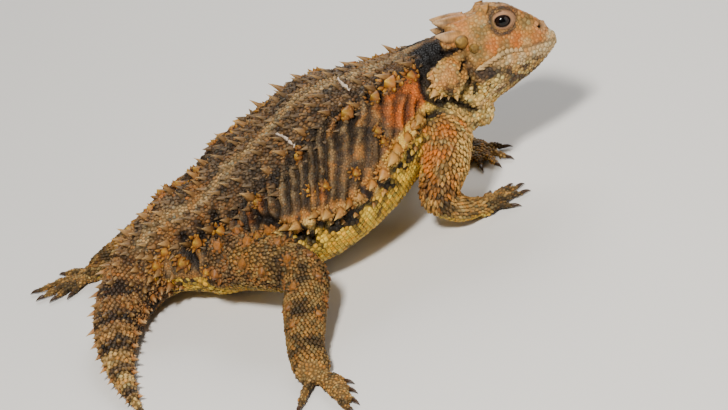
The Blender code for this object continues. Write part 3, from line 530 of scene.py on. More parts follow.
# the line of the fringe: places along the trunk, and its degrees off the midline there
FRINGE_LINE = ((9.2, 9.7, 10.3, 10.8, 12.0, 13.2), (66, 72, 84, 89, 87, 88))
FRINGE_LOBE = 3.3  # length of one lobe of the fringe
FAR = 99.0
cloud_wide, cloud, cloud_fine = mottle(points, 9.0), mottle(points, 3.2, 5.0), mottle(points, 1.3, 9.0)
on_flank = is_body * band(off, 31, 88, 6) * band(along, LOIN - 0.6, SHOULDER - 0.1, 0.7)
pleat_line = (run + PLEAT_SLANT * girth + 0.7 * cloud_wide + 0.22 * cloud) / PLEAT_SPACING
furrow = np.abs(np.sin(np.pi * pleat_line)) ** 0.7
furrow *= 1 - 0.45 * (1 - np.abs(np.sin(np.pi * (2 * pleat_line + 0.5 + 0.3 * cloud)))) ** 2
pleat = np.floor(pleat_line)
pleat_tone = mottle(np.stack((pleat * 2.3, girth / 5, np.where(turned > math.pi / 2, 9.0, 0.0)), axis=1), 1.0)
furrow_depth = (1 - furrow) * on_flank * np.clip(1.0 + 0.7 * cloud_wide, 0.5, 1.5)
on_neck = is_body * band(along, SHOULDER + 0.1, NAPE + 0.3, 0.3)
neck_crease = (1 - np.abs(np.sin(np.pi * (run * 0.55 + 0.5 * cloud))) ** 0.6) * on_neck * step(off, 12, 30)
bend = np.zeros(len(points))
for number, leg in enumerate(legs.values()):
    here = part == FIRST_LEG + number
    bent = along[here]
    bend[here] = band(bent, 2.4, 3.6, 0.3) + band(bent, 4.7, 5.3, 0.2) + band(bent, 0, 1.5, 0.3)
leg_crease = (1 - np.abs(np.sin(np.pi * along * 4.5 + cloud)) ** 0.7) * bend
lump = 0.12 * cloud_fine * (is_body + 0.5 * is_leg) * step(along, 2, 5)


def line_distance(places, line):
    """How far each place is from a line of points."""
    best = np.full(len(places), FAR)
    for start, end in zip(np.array(line[:-1], float), np.array(line[1:], float)):
        way = end - start
        share = np.clip((places - start) @ way / (way @ way), 0, 1)
        best = np.minimum(best, np.linalg.norm(places - start - share[:, None] * way, axis=1))
    return best


creased = np.zeros(len(points))
swollen = np.zeros(len(points))
lobe_away = np.full(len(points), FAR)  # how far each point is from the middle of a neck's swelling
for side in (1, -1):
    lobe_offset = points - neck_fold(side, 1.2)
    lobe_parts = [lobe_offset @ axis for axis in neck_axes]
    away = np.sqrt((lobe_parts[0] / 1.06) ** 2 + (lobe_parts[1] / 1.2) ** 2 + lobe_parts[2] ** 2)
    lobe_away = np.minimum(lobe_away, away + 0.35 * cloud)
creased = np.maximum(creased, 0.9 * np.exp(-(((lobe_away - 5.0) / 0.7) ** 2)))
for line, depth, half_width, both in CREASES:
    lines = [np.array(line)]
    if both:
        t = settle(trunk, lines[0], np.full(len(line), float(NECK)))[0]
        at = look(trunk, t)
        aside = np.sum((lines[0] - at["centre"]) * at["side"], axis=1)[:, None]
        lines.append(lines[0] - 2 * aside * at["side"])
    else:
        nearest = [np.argmin(np.linalg.norm(points - place, axis=1)) for place in lines[0]]
        lines = [points[nearest]]
    for one in lines:
        away = line_distance(points, one) + 0.25 * cloud
        creased = np.maximum(creased, depth * np.exp(-((away / half_width) ** 2)))
        swollen = np.maximum(swollen, 0.35 * depth * np.exp(-(((away - 2.2 * half_width) / half_width) ** 2)))
beyond = off - np.interp(along, *FRINGE_LINE)  # degrees below the fringe of the flank
lobes = np.sin(2 * math.pi * run / FRINGE_LOBE + 1.2 * cloud)
fringe_swell = is_body * band(along, PAUNCH - 0.2, SHOULDER, 0.4) * np.exp(-((beyond / 4) ** 2))
sink = PLEAT_DEPTH * furrow_depth + 0.55 * neck_crease + 0.28 * leg_crease + creased - swollen - lump
sink -= fringe_swell * (1 + 0.5 * lobes)
points = points - normals * sink[:, None]
points[:, 2] = np.maximum(points[:, 2], 0.02)

# The eye sockets: the skin dips behind the eyeball inside the rim of the lids, and the ears
# are short slanting slits behind the cheek.
EYE_RADIUS, EYE_PLACE = 1.95, (11.3, 6.6, 6.35)
SOCKET_RADIUS, SOCKET_FLOOR = 2.15, 0.9
# behind the snout and up from the mouth, then half width and half height
EAR_PLACE, EAR_SIZE, EAR_SLANT = (21.3, -1.0), (0.55, 1.7), math.radians(32)
NOSTRIL_PLACE, NOSTRIL_SIZE = (3.15, 3.55), (0.5, 0.6)
eyes = {side: head_point(EYE_PLACE[0], side * EYE_PLACE[1], EYE_PLACE[2]) for side in (1, -1)}
for side, centre in eyes.items():
    away = points - centre
    outward = away @ (head_left * side)
    aside = np.linalg.norm(away - outward[:, None] * head_left * side, axis=1)
    inside = (aside < SOCKET_RADIUS) & (outward > -EYE_RADIUS) & is_head
    bowl = 0.9 * (aside / SOCKET_RADIUS) ** 4
    depth = (outward - SOCKET_FLOOR - bowl) * step(aside, SOCKET_RADIUS, 1.6)
    points[inside] -= (head_left * side)[None] * np.maximum(depth[inside], 0)[:, None]
past_ear, over_ear = behind - EAR_PLACE[0], head_up - EAR_PLACE[1]
ear_x = past_ear * math.cos(EAR_SLANT) + over_ear * math.sin(EAR_SLANT)
ear_y = -past_ear * math.sin(EAR_SLANT) + over_ear * math.cos(EAR_SLANT)
ear_away = np.hypot(ear_x / EAR_SIZE[0], ear_y / EAR_SIZE[1])
in_ear = step(ear_away, 1.3, 0.6) * (head_out > 5) * (is_head | is_body)
points -= normals * (0.9 * in_ear)[:, None]
nostril_x = (behind - NOSTRIL_PLACE[0]) / NOSTRIL_SIZE[0]
nostril_y = (head_up - NOSTRIL_PLACE[1]) / NOSTRIL_SIZE[1]
nostril_away = np.hypot(nostril_x, nostril_y)
in_nostril = step(nostril_away, 1.5, 0.7) * is_head
points -= normals * (1.1 * in_nostril - 0.15 * band(nostril_away, 1.8, 2.6, 0.8) * is_head)[:, None]
skin.data.vertices.foreach_set("co", points.ravel())
skin.data.update()
normals = mesh_normals(skin.data)

# The colours of the hide, which skin and scales share: earth browns on the back with a pale
# stripe down the spine, rust behind the shoulder, yellow on the belly and a tan head.
HIDE = {
    "earth": (118, 90, 60),
    "grey_earth": (98, 80, 60),
    "orange_earth": (158, 110, 62),
    "stripe": (144, 119, 84),
    "dark": (46, 34, 22),
    "black": (22, 15, 10),
    "furrow": (32, 23, 15),
    # painted shade, laid into the furrows of the pleats and into the long creases
    "rust": (188, 102, 50),
    "cream": (224, 190, 122),
    "yellow": (220, 180, 86),
    "pale_belly": (222, 192, 122),
    "head_tan": (196, 144, 84),
    "head_light": (226, 174, 116),
    "head_olive": (132, 114, 74),
    "head_grey": (66, 58, 54),
    "head_orange": (204, 118, 64),
    "whitish": (228, 198, 152),
    "leg_tan": (140, 108, 64),
    "leg_green": (66, 54, 34),
    "leg_orange": (164, 104, 54),
    "tail_orange": (130, 94, 58),
    "tail_dark": (42, 33, 25),
    "thorn_tip": (206, 170, 118),
}


def linear(colour):
    """A display colour of 0 to 255 as the linear values that a shader takes."""
    c = np.asarray(colour, float) / 255
    return np.where(c <= 0.04045, c / 12.92, ((c + 0.055) / 1.055) ** 2.4)


paint = np.tile(linear(HIDE["earth"]), (len(points), 1))


def lay(name, share):
    """Lays one of the hide's colours over what is there, by a share at each point."""
    global paint
    share = np.clip(share, 0, 1)[:, None]
    paint = paint * (1 - share) + linear(HIDE[name]) * share


torso = is_body * step(along, TAIL_ROOT - 0.3, VENT)
lay("grey_earth", torso * step(cloud_wide, -0.3, 0.6))
low_flank = torso * step(off, 28, 38)
lay("stripe", low_flank * step(furrow, 0.35, 0.9) * step(cloud_wide, -0.7, 0.2) * 0.6)
lay("dark", low_flank * step(pleat_tone + 0.4 * cloud, -0.3, -0.8) * 0.3)
lay("orange_earth", low_flank * step(pleat_tone + 0.4 * cloud, -0.1, 0.4) * step(furrow, 0.3, 0.8) * 0.85)
lay("rust", low_flank * step(pleat_tone + 0.3 * cloud_fine, 0.5, 0.9) * step(furrow, 0.4, 0.8) * 0.6)
lay("dark", torso * band(off, 9, 30, 7) * step(cloud, -0.2, 0.4) * 0.5)
lay("dark", torso * step(cloud_fine, 0.25, 0.9) * step(off, 6, 12) * 0.55)
behind_shoulder = is_body * band(off, 46, 88, 8) * band(along, BREAST + 0.35, SHOULDER + 0.45, 0.4)
lay("rust", behind_shoulder * step(cloud, -1.1, 0.1))
# painted shade: the furrows between the flank's pleats darkened
lay("furrow", np.clip(furrow_depth * 1.7, 0, 1) * 0.75)
stripe_reach = np.abs(np.sum((points - trunk_at["centre"]) * trunk_at["side"], axis=1))
on_stripe = is_body * band(along, 2, NECK, 0.4) * step(stripe_reach + 0.9 * cloud, 2.4, 1.0)
lay("stripe", on_stripe * (off < 60) * 0.85)
lay("dark", torso * (off < 60) * step(cloud_fine, 0.15, 0.6) * 0.5)
lay("orange_earth", is_body * band(along, VENT - 1, PAUNCH - 1, 0.6) * step(cloud, 0.1, 0.7) * 0.5)
neck_hide = np.maximum(on_neck, is_head * step(behind, 22.5, 24.5))
on_nape = neck_hide * band(off, 12, 80, 6) * step(cloud, -1.1, -0.4)
lay("black", on_nape * step(along, SHOULDER + 0.45, NECK - 0.1))
near_neck = (is_body & (along > SHOULDER) | is_head & (behind > 18)).astype(float)
lay("black", near_neck * band(lobe_away, 5.0, 5.9, 0.7) * step(off, 98, 86) * 0.85)
on_lobe = near_neck * step(lobe_away, 5.0, 4.3)
lay("head_tan", on_lobe)
lay("head_light", on_lobe * 0.6)
lay("head_orange", on_lobe * step(cloud, 0.1, 0.7) * 0.35)
on_side = is_body * band(along, PAUNCH - 0.2, NECK, 0.5)
below = is_body * step(beyond, 7, 12) * step(along, TAIL_SIDE, TAIL_ROOT)
lay("black", on_side * band(beyond, -3, 8, 4) * step(lobes, 0.0, -0.6) * 0.85)
lay("orange_earth", on_side * band(beyond, -7, 2, 4) * step(lobes, -0.6, 0.1) * 0.95)
lay("cream", on_side * band(beyond, -1, 7, 3) * step(lobes, -0.2, 0.5) * 0.9)
by_shoulder = is_body * band(along, SHOULDER - 1.3, SHOULDER + 0.7, 0.4) * band(beyond, -6, 8, 4)
lay("cream", by_shoulder * step(cloud_fine, -0.9, -0.2) * 0.5)
lay("yellow", by_shoulder * step(cloud_fine, -0.9, -0.2) * 0.6)
lay("yellow", below)
under_fringe = is_body * step(along, PAUNCH - 2, PAUNCH) * band(beyond, 6, 15, 5)
lay("black", under_fringe * step(cloud + 0.6 * cloud_fine, -0.15, 0.2) * 0.93)
lay("black", below * step(beyond, 34, 14) * step(cloud_fine + 0.7 * cloud, 0.1, 0.4) * 0.8)
lay("pale_belly", below * step(beyond, 34, 70) * 0.8)
lay("dark", below * step(cloud_fine + 0.5 * cloud, 0.25, 0.5) * 0.75)
lay("cream", is_body * step(along, SHOULDER - 0.4, SHOULDER + 0.4) * step(off, 92, 104))
lay("cream", on_lobe * step(lobe_away, 2.4, 3.8) * step(cloud_fine, -0.4, 0.2) * 0.8)
under_neck = is_body * step(along, SHOULDER, NECK) * step(off, 100, 112)
lay("head_grey", under_neck * step(cloud_fine, 0.1, 0.5) * 0.7)
TAIL_BAND, TAIL_PHASE = 8.4, 0.07
on_tail = is_body * step(along, VENT - 0.2, TAIL_ROOT)
lay("tail_orange", on_tail)
lay("cream", on_tail * step(run, 36, 16) * 0.45)
# painted shade: the long creases and the ring round each neck swelling darkened
lay("furrow", is_body * np.clip(creased * 1.9, 0, 1) * 0.92)
tail_wave = np.sin(2 * math.pi * (run / TAIL_BAND + TAIL_PHASE)) + 0.55 * cloud + 0.35 * cloud_fine
lay("tail_dark", on_tail * step(tail_wave, -0.2, 0.4) * 0.9 * step(off, 160, 130))
lay("earth", on_tail * step(cloud_wide, 0.1, 0.6) * 0.5)
by_vent = is_body * band(along, VENT - 1.4, VENT + 1.0, 0.4) * band(off, 78, 118, 8)
lay("dark", by_vent * step(cloud_fine, -0.2, 0.2) * 0.8)
lay("cream", on_tail * step(off, 120, 150) * 0.6)

# The head's colours: tan with olive and grey clouds, orange patches on lip and cheek, and a
# grey and cream throat.
# behind the snout, up from the mouth, reach, colour, strength
HEAD_SPOTS = (
    (14.3, 1.6, 1.8, "head_orange", 0.75),
    (9.2, 1.9, 1.8, "head_orange", 0.8),
    (7.2, 0.7, 1.3, "head_light", 0.8),
    (20.5, 6.2, 2.0, "head_light", 0.7),
    (4.6, 1.2, 1.7, "head_orange", 0.55),
    (20.3, 8.0, 1.8, "head_orange", 0.55),
    (23.6, 4.6, 1.8, "head_orange", 0.5),
    (11.8, 2.2, 1.5, "head_orange", 0.4),
    (16.8, 4.7, 2.2, "head_olive", 0.6),
    (17.7, 0.8, 2.0, "head_olive", 0.75),
    (13.0, -0.8, 1.5, "head_olive", 0.6),
    (11.6, 1.2, 1.2, "head_olive", 0.6),
    (6.8, 5.2, 1.5, "head_olive", 0.7),
    (8.7, 8.5, 1.6, "head_grey", 0.5),
    (13.7, 8.8, 1.4, "head_grey", 0.45),
    (20.6, 1.4, 1.6, "head_olive", 0.5),
    (1.0, 0.4, 2.2, "whitish", 0.8),
    (2.9, -1.3, 1.9, "whitish", 0.85),
    (5.6, -1.6, 1.6, "whitish", 0.85),
    (8.4, -1.5, 1.4, "whitish", 0.8),
    (11.2, -1.8, 1.4, "whitish", 0.8),
    (13.6, -2.0, 1.2, "whitish", 0.5),
    (17.9, -3.9, 1.7, "head_grey", 0.9),
    (15.8, -4.3, 2.0, "head_grey", 0.95),
    (11.8, -4.3, 1.1, "head_grey", 0.7),
    (8.8, -2.7, 1.2, "whitish", 0.8),
    (19.6, -2.6, 1.5, "head_grey", 0.7),
    (16.4, -5.6, 1.4, "head_grey", 0.7),
    (13.2, -5.4, 1.0, "head_grey", 0.6),
    (16.0, -9.8, 2.2, "whitish", 0.8),
    (18.4, -12.2, 2.6, "whitish", 0.8),
    (14.1, -6.6, 1.3, "whitish", 0.6),
)
lip_gap = head_up - head_line("lip", behind)  # height above the line of the mouth
throat = is_head * step(lip_gap, -1.6, -3.2)
lay("head_tan", is_head)
lay("head_olive", is_head * step(cloud + 0.3 * cloud_fine, 0.0, 0.7) * 0.6)
lay("whitish", is_head * step(cloud_fine - 0.5 * cloud, 0.1, 0.9) * 0.25)
lay("head_orange", is_head * step(mottle(points, 2.6, 47.0), 0.2, 0.8) * (lip_gap > 0) * 0.35)
lay("head_grey", throat * step(cloud + 0.6 * cloud_fine, -0.4, 0.2) * 0.78)
lay("cream", throat * step(cloud_fine, 0.1, -0.4) * 0.8)
for place, height, reach, name, strength in HEAD_SPOTS:
    spot_away = np.hypot(behind - place, (head_up - height) * 0.8) + 0.45 * cloud_fine
    share = step(spot_away, reach * 1.1, reach * 0.4) * strength
    lay(name, is_head * share * (step(lip_gap, 0.3, -0.2) if name == "whitish" and place > 2 else 1))
# painted shade: a dark line in the slit of the mouth towards the snout
lay("dark", is_head * band(lip_gap, -0.1, 0.1, 0.25) * step(behind, 9.5, 8) * 0.65)
lay("head_orange", is_head * band(nostril_away, 1.4, 2.8, 0.6) * 0.7)
lay("whitish", is_head * band(nostril_away, 1.4, 2.2, 0.6) * 0.5)
# painted shade: the ear slits and nostrils painted black for the dark inside them
lay("black", in_ear)
lay("black", in_nostril)
for side, centre in eyes.items():
    distance = np.linalg.norm((points - centre) @ np.array((head_front, head_top)).T, axis=1)
    lay("head_grey", is_head * band(distance, 2.5, 2.9, 0.35) * (head_out > 4) * 0.8)

# The legs' colours: orange brown above with keeled pale points, dark bands across the shank and
# foot, and a yellow lower edge.
LEG_BANDS = 1.25
front_leg, hind_leg = is_leg & (part < FIRST_LEG + 2), is_leg & (part > FIRST_LEG + 1)
lay("leg_tan", is_leg)
lay("leg_orange", front_leg * step(along, 3.8, 2.2) * step(cloud, -0.6, 0.2) * 0.85)
lay("rust", front_leg * step(along, 2.6, 1.6) * step(cloud, -0.2, 0.5) * step(off, 90, 60) * 0.25)
lay("cream", front_leg * step(along, 3.2, 2.2) * step(normals[:, 0], 0.3, 0.75) * 0.6)
lay("leg_orange", hind_leg * step(along, 3.2, 1.5) * step(cloud, 0.0, 0.6) * 0.5)
lay("earth", hind_leg * step(along, 3.4, 2.2) * step(cloud_wide + 0.5 * cloud, -0.7, 0.1) * 0.85)
bands = 0.5 * np.sin(2 * math.pi * along * LEG_BANDS) + 1.1 * cloud + 0.7 * cloud_fine
lay("leg_green", is_leg * step(bands, 0.0, 0.7) * step(along, 1.6, 3.0) * step(off, 130, 100) * 0.8)
lay("yellow", is_leg * step(off, 105, 130) * 0.7)
lay("dark", is_leg * step(cloud_fine, 0.35, 0.9) * 0.45)
lay("leg_tan", is_foot)
lay("leg_green", is_foot * step(mottle(points, 2.4, 31.0), 0.0, 0.6) * 0.8)


def edge_pairs(mesh):
    pairs = np.empty(len(mesh.edges) * 2, int)
    mesh.edges.foreach_get("vertices", pairs)
    return pairs.reshape(-1, 2)


def spread(values, pairs, times):
    """Evens values out between neighbouring points, so that no part ends in a line."""
    count = np.bincount(pairs.ravel(), minlength=len(values))[:, None]
    for _ in range(times):
        total = np.zeros_like(values)
        np.add.at(total, pairs[:, 0], values[pairs[:, 1]])
        np.add.at(total, pairs[:, 1], values[pairs[:, 0]])
        values = (values + total / np.maximum(count, 1)) / 2
    return values


pairs = edge_pairs(skin.data)
paint = spread(paint, pairs, 2)
# the light parts of the hide a little lighter, and the dark parts darker
LUMINANCE = np.array((0.2126, 0.7152, 0.0722))  # how bright the eye takes red, green and blue
lightness = paint @ LUMINANCE
on_face = np.maximum(is_head, on_lobe)
rear_share = np.maximum(hind_leg * 0.38, on_tail * step(run, 62, 50) * 0.3) + is_foot * 0.06
contrast = (lightness / (0.13 + 0.17 * on_face)) ** (0.22 + 0.16 * torso)
paint *= ((1.35 - 0.33 * on_face) * (1 - rear_share) * contrast)[:, None]


def hide_material(name, grain, roughness):
    """Dry scaly hide: the painted colour, broken by fine grain, on a faintly glossy surface."""
    made = bpy.data.materials.new(name)
    made.use_nodes = True
    nodes, links = made.node_tree.nodes, made.node_tree.links
    shader = nodes["Principled BSDF"]
    shader.inputs["IOR"].default_value = 1.33
    painted = nodes.new("ShaderNodeAttribute")
    painted.attribute_name = "paint"
    place = nodes.new("ShaderNodeTexCoord")
    specks = nodes.new("ShaderNodeTexNoise")
    specks.inputs["Scale"].default_value = grain
    specks.inputs["Detail"].default_value = 6
    links.new(place.outputs["Object"], specks.inputs["Vector"])
    tint = nodes.new("ShaderNodeMapRange")
    tint.inputs["To Min"].default_value = 0.5
    tint.inputs["To Max"].default_value = 1.5
    links.new(specks.outputs["Fac"], tint.inputs["Value"])
    mixed = nodes.new("ShaderNodeMix")
    mixed.data_type = "RGBA"
    mixed.blend_type = "MULTIPLY"
    mixed.inputs["Factor"].default_value = 1
    links.new(painted.outputs["Color"], mixed.inputs["A"])
    links.new(tint.outputs["Result"], mixed.inputs["B"])
    links.new(mixed.outputs["Result"], shader.inputs["Base Color"])
    gloss = nodes.new("ShaderNodeMapRange")
    gloss.inputs["To Min"].default_value = roughness - 0.12
    gloss.inputs["To Max"].default_value = roughness + 0.15
    links.new(specks.outputs["Fac"], gloss.inputs["Value"])
    links.new(gloss.outputs["Result"], shader.inputs["Roughness"])
    bump = nodes.new("ShaderNodeBump")
    bump.inputs["Strength"].default_value = 0.35
    bump.inputs["Distance"].default_value = 0.00012
    links.new(specks.outputs["Fac"], bump.inputs["Height"])
    links.new(bump.outputs["Normal"], shader.inputs["Normal"])
    return made


# Where the scales root: rows across the belly, limbs and tail, rows along the lips, and an
# uneven scatter elsewhere, each as far from the next as its kind is wide.
scatter = np.random.default_rng(7)
# per point: width, height, keel, rise of the rear edge, length of the point, light that the painted shade
# leaves in the gaps and at the scales' rims
kinds = np.tile(np.array((0.5, 0.05, 0.0, 0.05, 0.05, 0.68)), (len(points), 1))


def kind(where, width, height, keel, rise, tip, gap_light):
    """Gives the scales of a region their kind."""
    global kinds
    share = np.clip(np.asarray(where, float), 0, 1)[:, None]
    kinds = kinds * (1 - share) + np.array((width, height, keel, rise, tip, gap_light)) * share


kind(torso * step(off, 40, 27), 0.8, 0.2, 0.14, 0.30, 0.35, 0.32)
kind(torso * step(stripe_reach, 1.8, 1.2) * (off < 60), 0.66, 0.16, 0.06, 0.22, 0.2, 0.4)
kind(torso * step(beyond, 8, 12), 0.95, 0.16, 0.04, 0.22, 0.1, 0.3)
kind(on_neck * step(off, 100, 90), 0.55, 0.1, 0.0, 0.05, 0.0, 0.6)
kind(on_neck * step(off, 92, 105), 0.85, 0.2, 0.04, 0.25, 0.3, 0.4)
kind(on_tail, 1.0, 0.2, 0.22, 0.38, 0.5, 0.3)
kind(is_leg, 0.74, 0.15, 0.24, 0.6, 0.95, 0.35)
kind(front_leg * (along < 3.4), 0.8, 0.17, 0.26, 0.85, 1.2, 0.32)
kind(is_leg * step(off, 105, 125), 0.8, 0.15, 0.05, 0.2, 0.2, 0.35)
kind(is_foot, 0.66, 0.14, 0.08, 0.3, 0.3, 0.35)
kind(is_head, 0.7, 0.07, 0.0, 0.0, 0.0, 0.72)
kind(is_head * step(head_out, 6.5, 5.0) * (head_up > 4), 0.95, 0.1, 0.0, 0.0, 0.0, 0.62)
kind(throat, 0.75, 0.15, 0.02, 0.15, 0.1, 0.55)
kind(is_head * band(lip_gap, -2.4, -0.3, 0.4), 0.8, 0.14, 0, 0.02, 0, 0.6)
kind(on_lobe * step(lobe_away, 2.0, 3.0), 0.75, 0.16, 0.0, 0.15, 0.1, 0.5)
for centre in eyes.values():
    near = np.linalg.norm(points - centre, axis=1)
    kind(step(near, 4.2, 3.2) * is_head, 0.5, 0.08, 0.0, 0.0, 0.0, 0.65)

# the frame's right eye fixes where the working frame stands in the model's
eye_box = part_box("eye_right")
SHIFT = eyes[-1] - np.array((eye_box[0] + eye_box[1]) / 2) / UNIT
# how strong and how dark the hide's colours lie, and where the brightest are held back
RICHNESS, DEPTH, BRIGHTEST = 1.13, 0.66, 0.42


def in_model(places):
    """Places of the working frame as the model's, in metres."""
    return (places - SHIFT) * UNIT


def put_paint(mesh, colours):
    """Stores the linear colour of each point as the attribute that the finishes read."""
    grey = colours @ LUMINANCE
    colours = np.maximum((grey[:, None] + (colours - grey[:, None]) * RICHNESS) * DEPTH, 0)
    colours = colours * np.minimum(1, BRIGHTEST / np.maximum(colours.max(axis=1, keepdims=True), 1e-6)) ** 0.6
    colours = np.clip(colours, 0, 1)
    layer = mesh.color_attributes.new("paint", "FLOAT_COLOR", "POINT")
    layer.data.foreach_set("color", np.hstack((colours, np.ones((len(colours), 1)))).ravel())


hide = hide_material("hide", 2600, 0.66)
BODY_NODES = ("head", "neck", "torso", "tail_base", "tail_middle", "tail_tip")
LEG_NODES = [
    f"{word}_{name}"
    for name in LEG_ROWS
    for word in (("thigh", "shank", "foot") if name.startswith("hind") else ("upper_arm", "forearm", "hand"))
]
# painted shade: the bare skin between the scales darkened, least where the kinds leave most light in the gaps
gap_light = np.clip(spread(kinds[:, 5:6], pairs, 3), 0, 1)
put_paint(skin.data, paint * (0.2 + 0.75 * gap_light))
skin.data.vertices.foreach_set("co", in_model(points).ravel())
skin.data.polygons.foreach_set("use_smooth", [True] * len(skin.data.polygons))
skin.data.materials.clear()
skin.data.materials.append(hide)
skin.data.update()
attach(skin, "root")
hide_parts(*BODY_NODES, *LEG_NODES)

lie = np.zeros_like(points)
lie[is_body] = -trunk_at["ahead"][is_body]
lie[is_head] = -head_front
for number, leg in enumerate(legs.values()):
    here = part == FIRST_LEG + number
    lie[here] = look(leg, along[here])["ahead"]
for name, palm in palms.items():
    here = is_foot & (np.linalg.norm(points - palm, axis=1) < 20)
    lie[here] = unit(points[here] - palm * np.array((1, 1, 0)))

skin_bvh = BVHTree.FromPolygons([Vector(p) for p in points], [tuple(f.vertices) for f in skin.data.polygons])
skin_tree = tree_of(points)


def root_at(place, facing):
    """Where a line that comes in against the way it faces meets the skin."""
    hit = skin_bvh.ray_cast(Vector(place + facing * 3), Vector(-facing), 8)
    return np.array(hit[0]) if hit[0] is not None else None


ROUND_HEAD = 6.2832  # radians


def part_unwrap(number, place, t, angle):
    """A place on a flat unwrap of the hide, with an area of its own for each part."""
    if number == BODY_PART:
        return 0.02 + 0.56 * t / 16, 0.02 + 0.96 * (angle % (2 * math.pi)) / (2 * math.pi)
    if number == HEAD_PART:
        d, out, up = (place - SNOUT) @ np.array((-head_front, head_left, head_top)).T
        across = math.atan2(up + 1, out) % ROUND_HEAD
        return 0.60 + 0.18 * min(max(d / 27, 0), 1), 0.02 + 0.46 * across / ROUND_HEAD
    if number == FOOT_PART:
        name = min(palms, key=lambda key: float(np.linalg.norm(palms[key] - place)))
        column = list(palms).index(name)
        local = (place - palms[name]) / 44 + 0.5
        low = 0.11 if place[2] < 0.8 else 0
        across = 0.80 + 0.09 * (column % 2) + 0.085 * local[0]
        return across, 0.54 + 0.22 * (column // 2) + low + 0.1 * local[1]
    round_it = 0.11 * (angle % (2 * math.pi)) / (2 * math.pi)
    return 0.80 + 0.18 * t / 6, 0.02 + 0.12 * (number - FIRST_LEG) + round_it


# The thorns: horny cones that stand up from the hide in rows, each in a ring of small pointed
# scales. They are palest at the tip, and lean to the rear.
# degrees off the midline, height, radius, first and last place, spacing
BACK_THORNS = (
    (12, 2.5, 0.62, VENT - 0.3, SHOULDER, 3.4, ("earth", "thorn_tip"), 0.9),
    (28, 3.0, 0.9, VENT - 0.4, NECK - 0.2, 5.4, ("orange_earth", "thorn_tip"), 1.2),
)
# low bosses in rings of pointed scales: place along the trunk, degrees off the midline, radius
ROSETTES = (
    (11.36, 34, 1.6), (10.02, 30, 1.3), (10.45, 63, 0.9), (10.73, 71, 0.9), (9.98, 54, 0.8),
    (11.57, 59, 0.95), (8.04, 32, 1.25), (7.26, 34, 1.25), (9.14, 36, 1.0), (6.52, 33, 1.1),
    (6.85, 52, 1.3), (12.3, 36, 1.2), (13.0, 33, 1.6), (13.5, 42, 1.2), (8.7, 58, 1.0),
    (7.5, 64, 1.0), (9.3, 70, 0.9), (5.9, 44, 1.1), (5.6, 60, 1.0), (11.9, 72, 0.8),
)
FRINGE_THORNS = (
    (-1, 2.3, 1.1, PAUNCH - 0.4, SHOULDER + 0.2, 2.7, ("leg_orange", "cream"), 0.55),
    (9, 0.9, 0.6, PAUNCH - 0.2, SHOULDER, 2.4, ("yellow", "cream"), 1.0),
)
TAIL_THORNS = ((20, 1.9), (52, 2.4), (86, 3.3))
TAIL_WHORL = 4.5
thorns = []  # place, direction, height, radius, colour at the root, colour of the tip
ringed = []  # the bosses, which have a dark ring round them


def near_skin(place):
    return skin_tree.find(Vector(place))[1]


def add_thorn(place, direction, height, radius, root_colour, tip_colour, own=0.45):
    """A thorn rooted where the skin is nearest, with its own colour by a share."""
    base = (1 - own) * paint[near_skin(place)] + own * linear(HIDE[root_colour])
    light = scatter.uniform(0.7, 1.25)
    thorns.append((place, direction, height, radius, base * light, linear(HIDE[tip_colour]) * light))


def on_trunk(t, angle):
    """A point on the trunk, and the way that it faces."""
    places, ways = surface(trunk, np.array([t]), np.array([angle]))
    return places[0], ways[0]


def runs(form, first, last, spacing):
    """Places along a form at an even spacing."""
    t = first
    while t < last:
        yield t
        t += spacing / look(form, np.array([t]))["speed"][0, 0]


def set_row(off_angle, height, radius, first, last, spacing, colours, upright, fringe=False):
    """One row of thorns along each side of the trunk, unevenly set."""
    for side in (-1, 1):
        for t in runs(trunk, first + 0.15, last - 0.1, spacing):
            wander = 1.5 if fringe else 5
            low = np.interp(t, *FRINGE_LINE) if fringe else 0
            angle = math.radians(90 + side * (low + off_angle + scatter.uniform(-wander, wander)))
            strayed = t + scatter.uniform(-0.12, 0.12)
            root_place, facing = on_trunk(strayed, angle)
            root = root_at(root_place, facing)
            if root is None or part[near_skin(root)] != BODY_PART:
                continue
            ahead = look(trunk, np.array([strayed]))["ahead"][0]
            lean = unit(facing * upright - ahead * (0.4 + scatter.uniform(-0.2, 0.2)))
            tall = height * scatter.uniform(0.75, 1.2)
            tones = (colours, ("orange_earth", "cream"))[fringe and scatter.uniform() < 0.5]
            add_thorn(root, lean, tall, radius * scatter.uniform(0.8, 1.15), *tones, 0.9 if fringe else 0.45)


for row in BACK_THORNS:
    set_row(*row)
for row in FRINGE_THORNS:
    set_row(*row, fringe=True)


def pick(where, spacing, taken):
    """Points of the skin within a region, no two closer than a spacing, clear of those taken."""
    open_points = np.array(where).copy()
    for place in taken:
        for _, k, _ in skin_tree.find_range(Vector(place), spacing):
            open_points[k] = False
    found = []
    for k in scatter.permutation(np.flatnonzero(open_points)):
        if open_points[k]:
            found.append(k)
            for _, other, _ in skin_tree.find_range(Vector(points[k]), spacing):
                open_points[other] = False
    return found


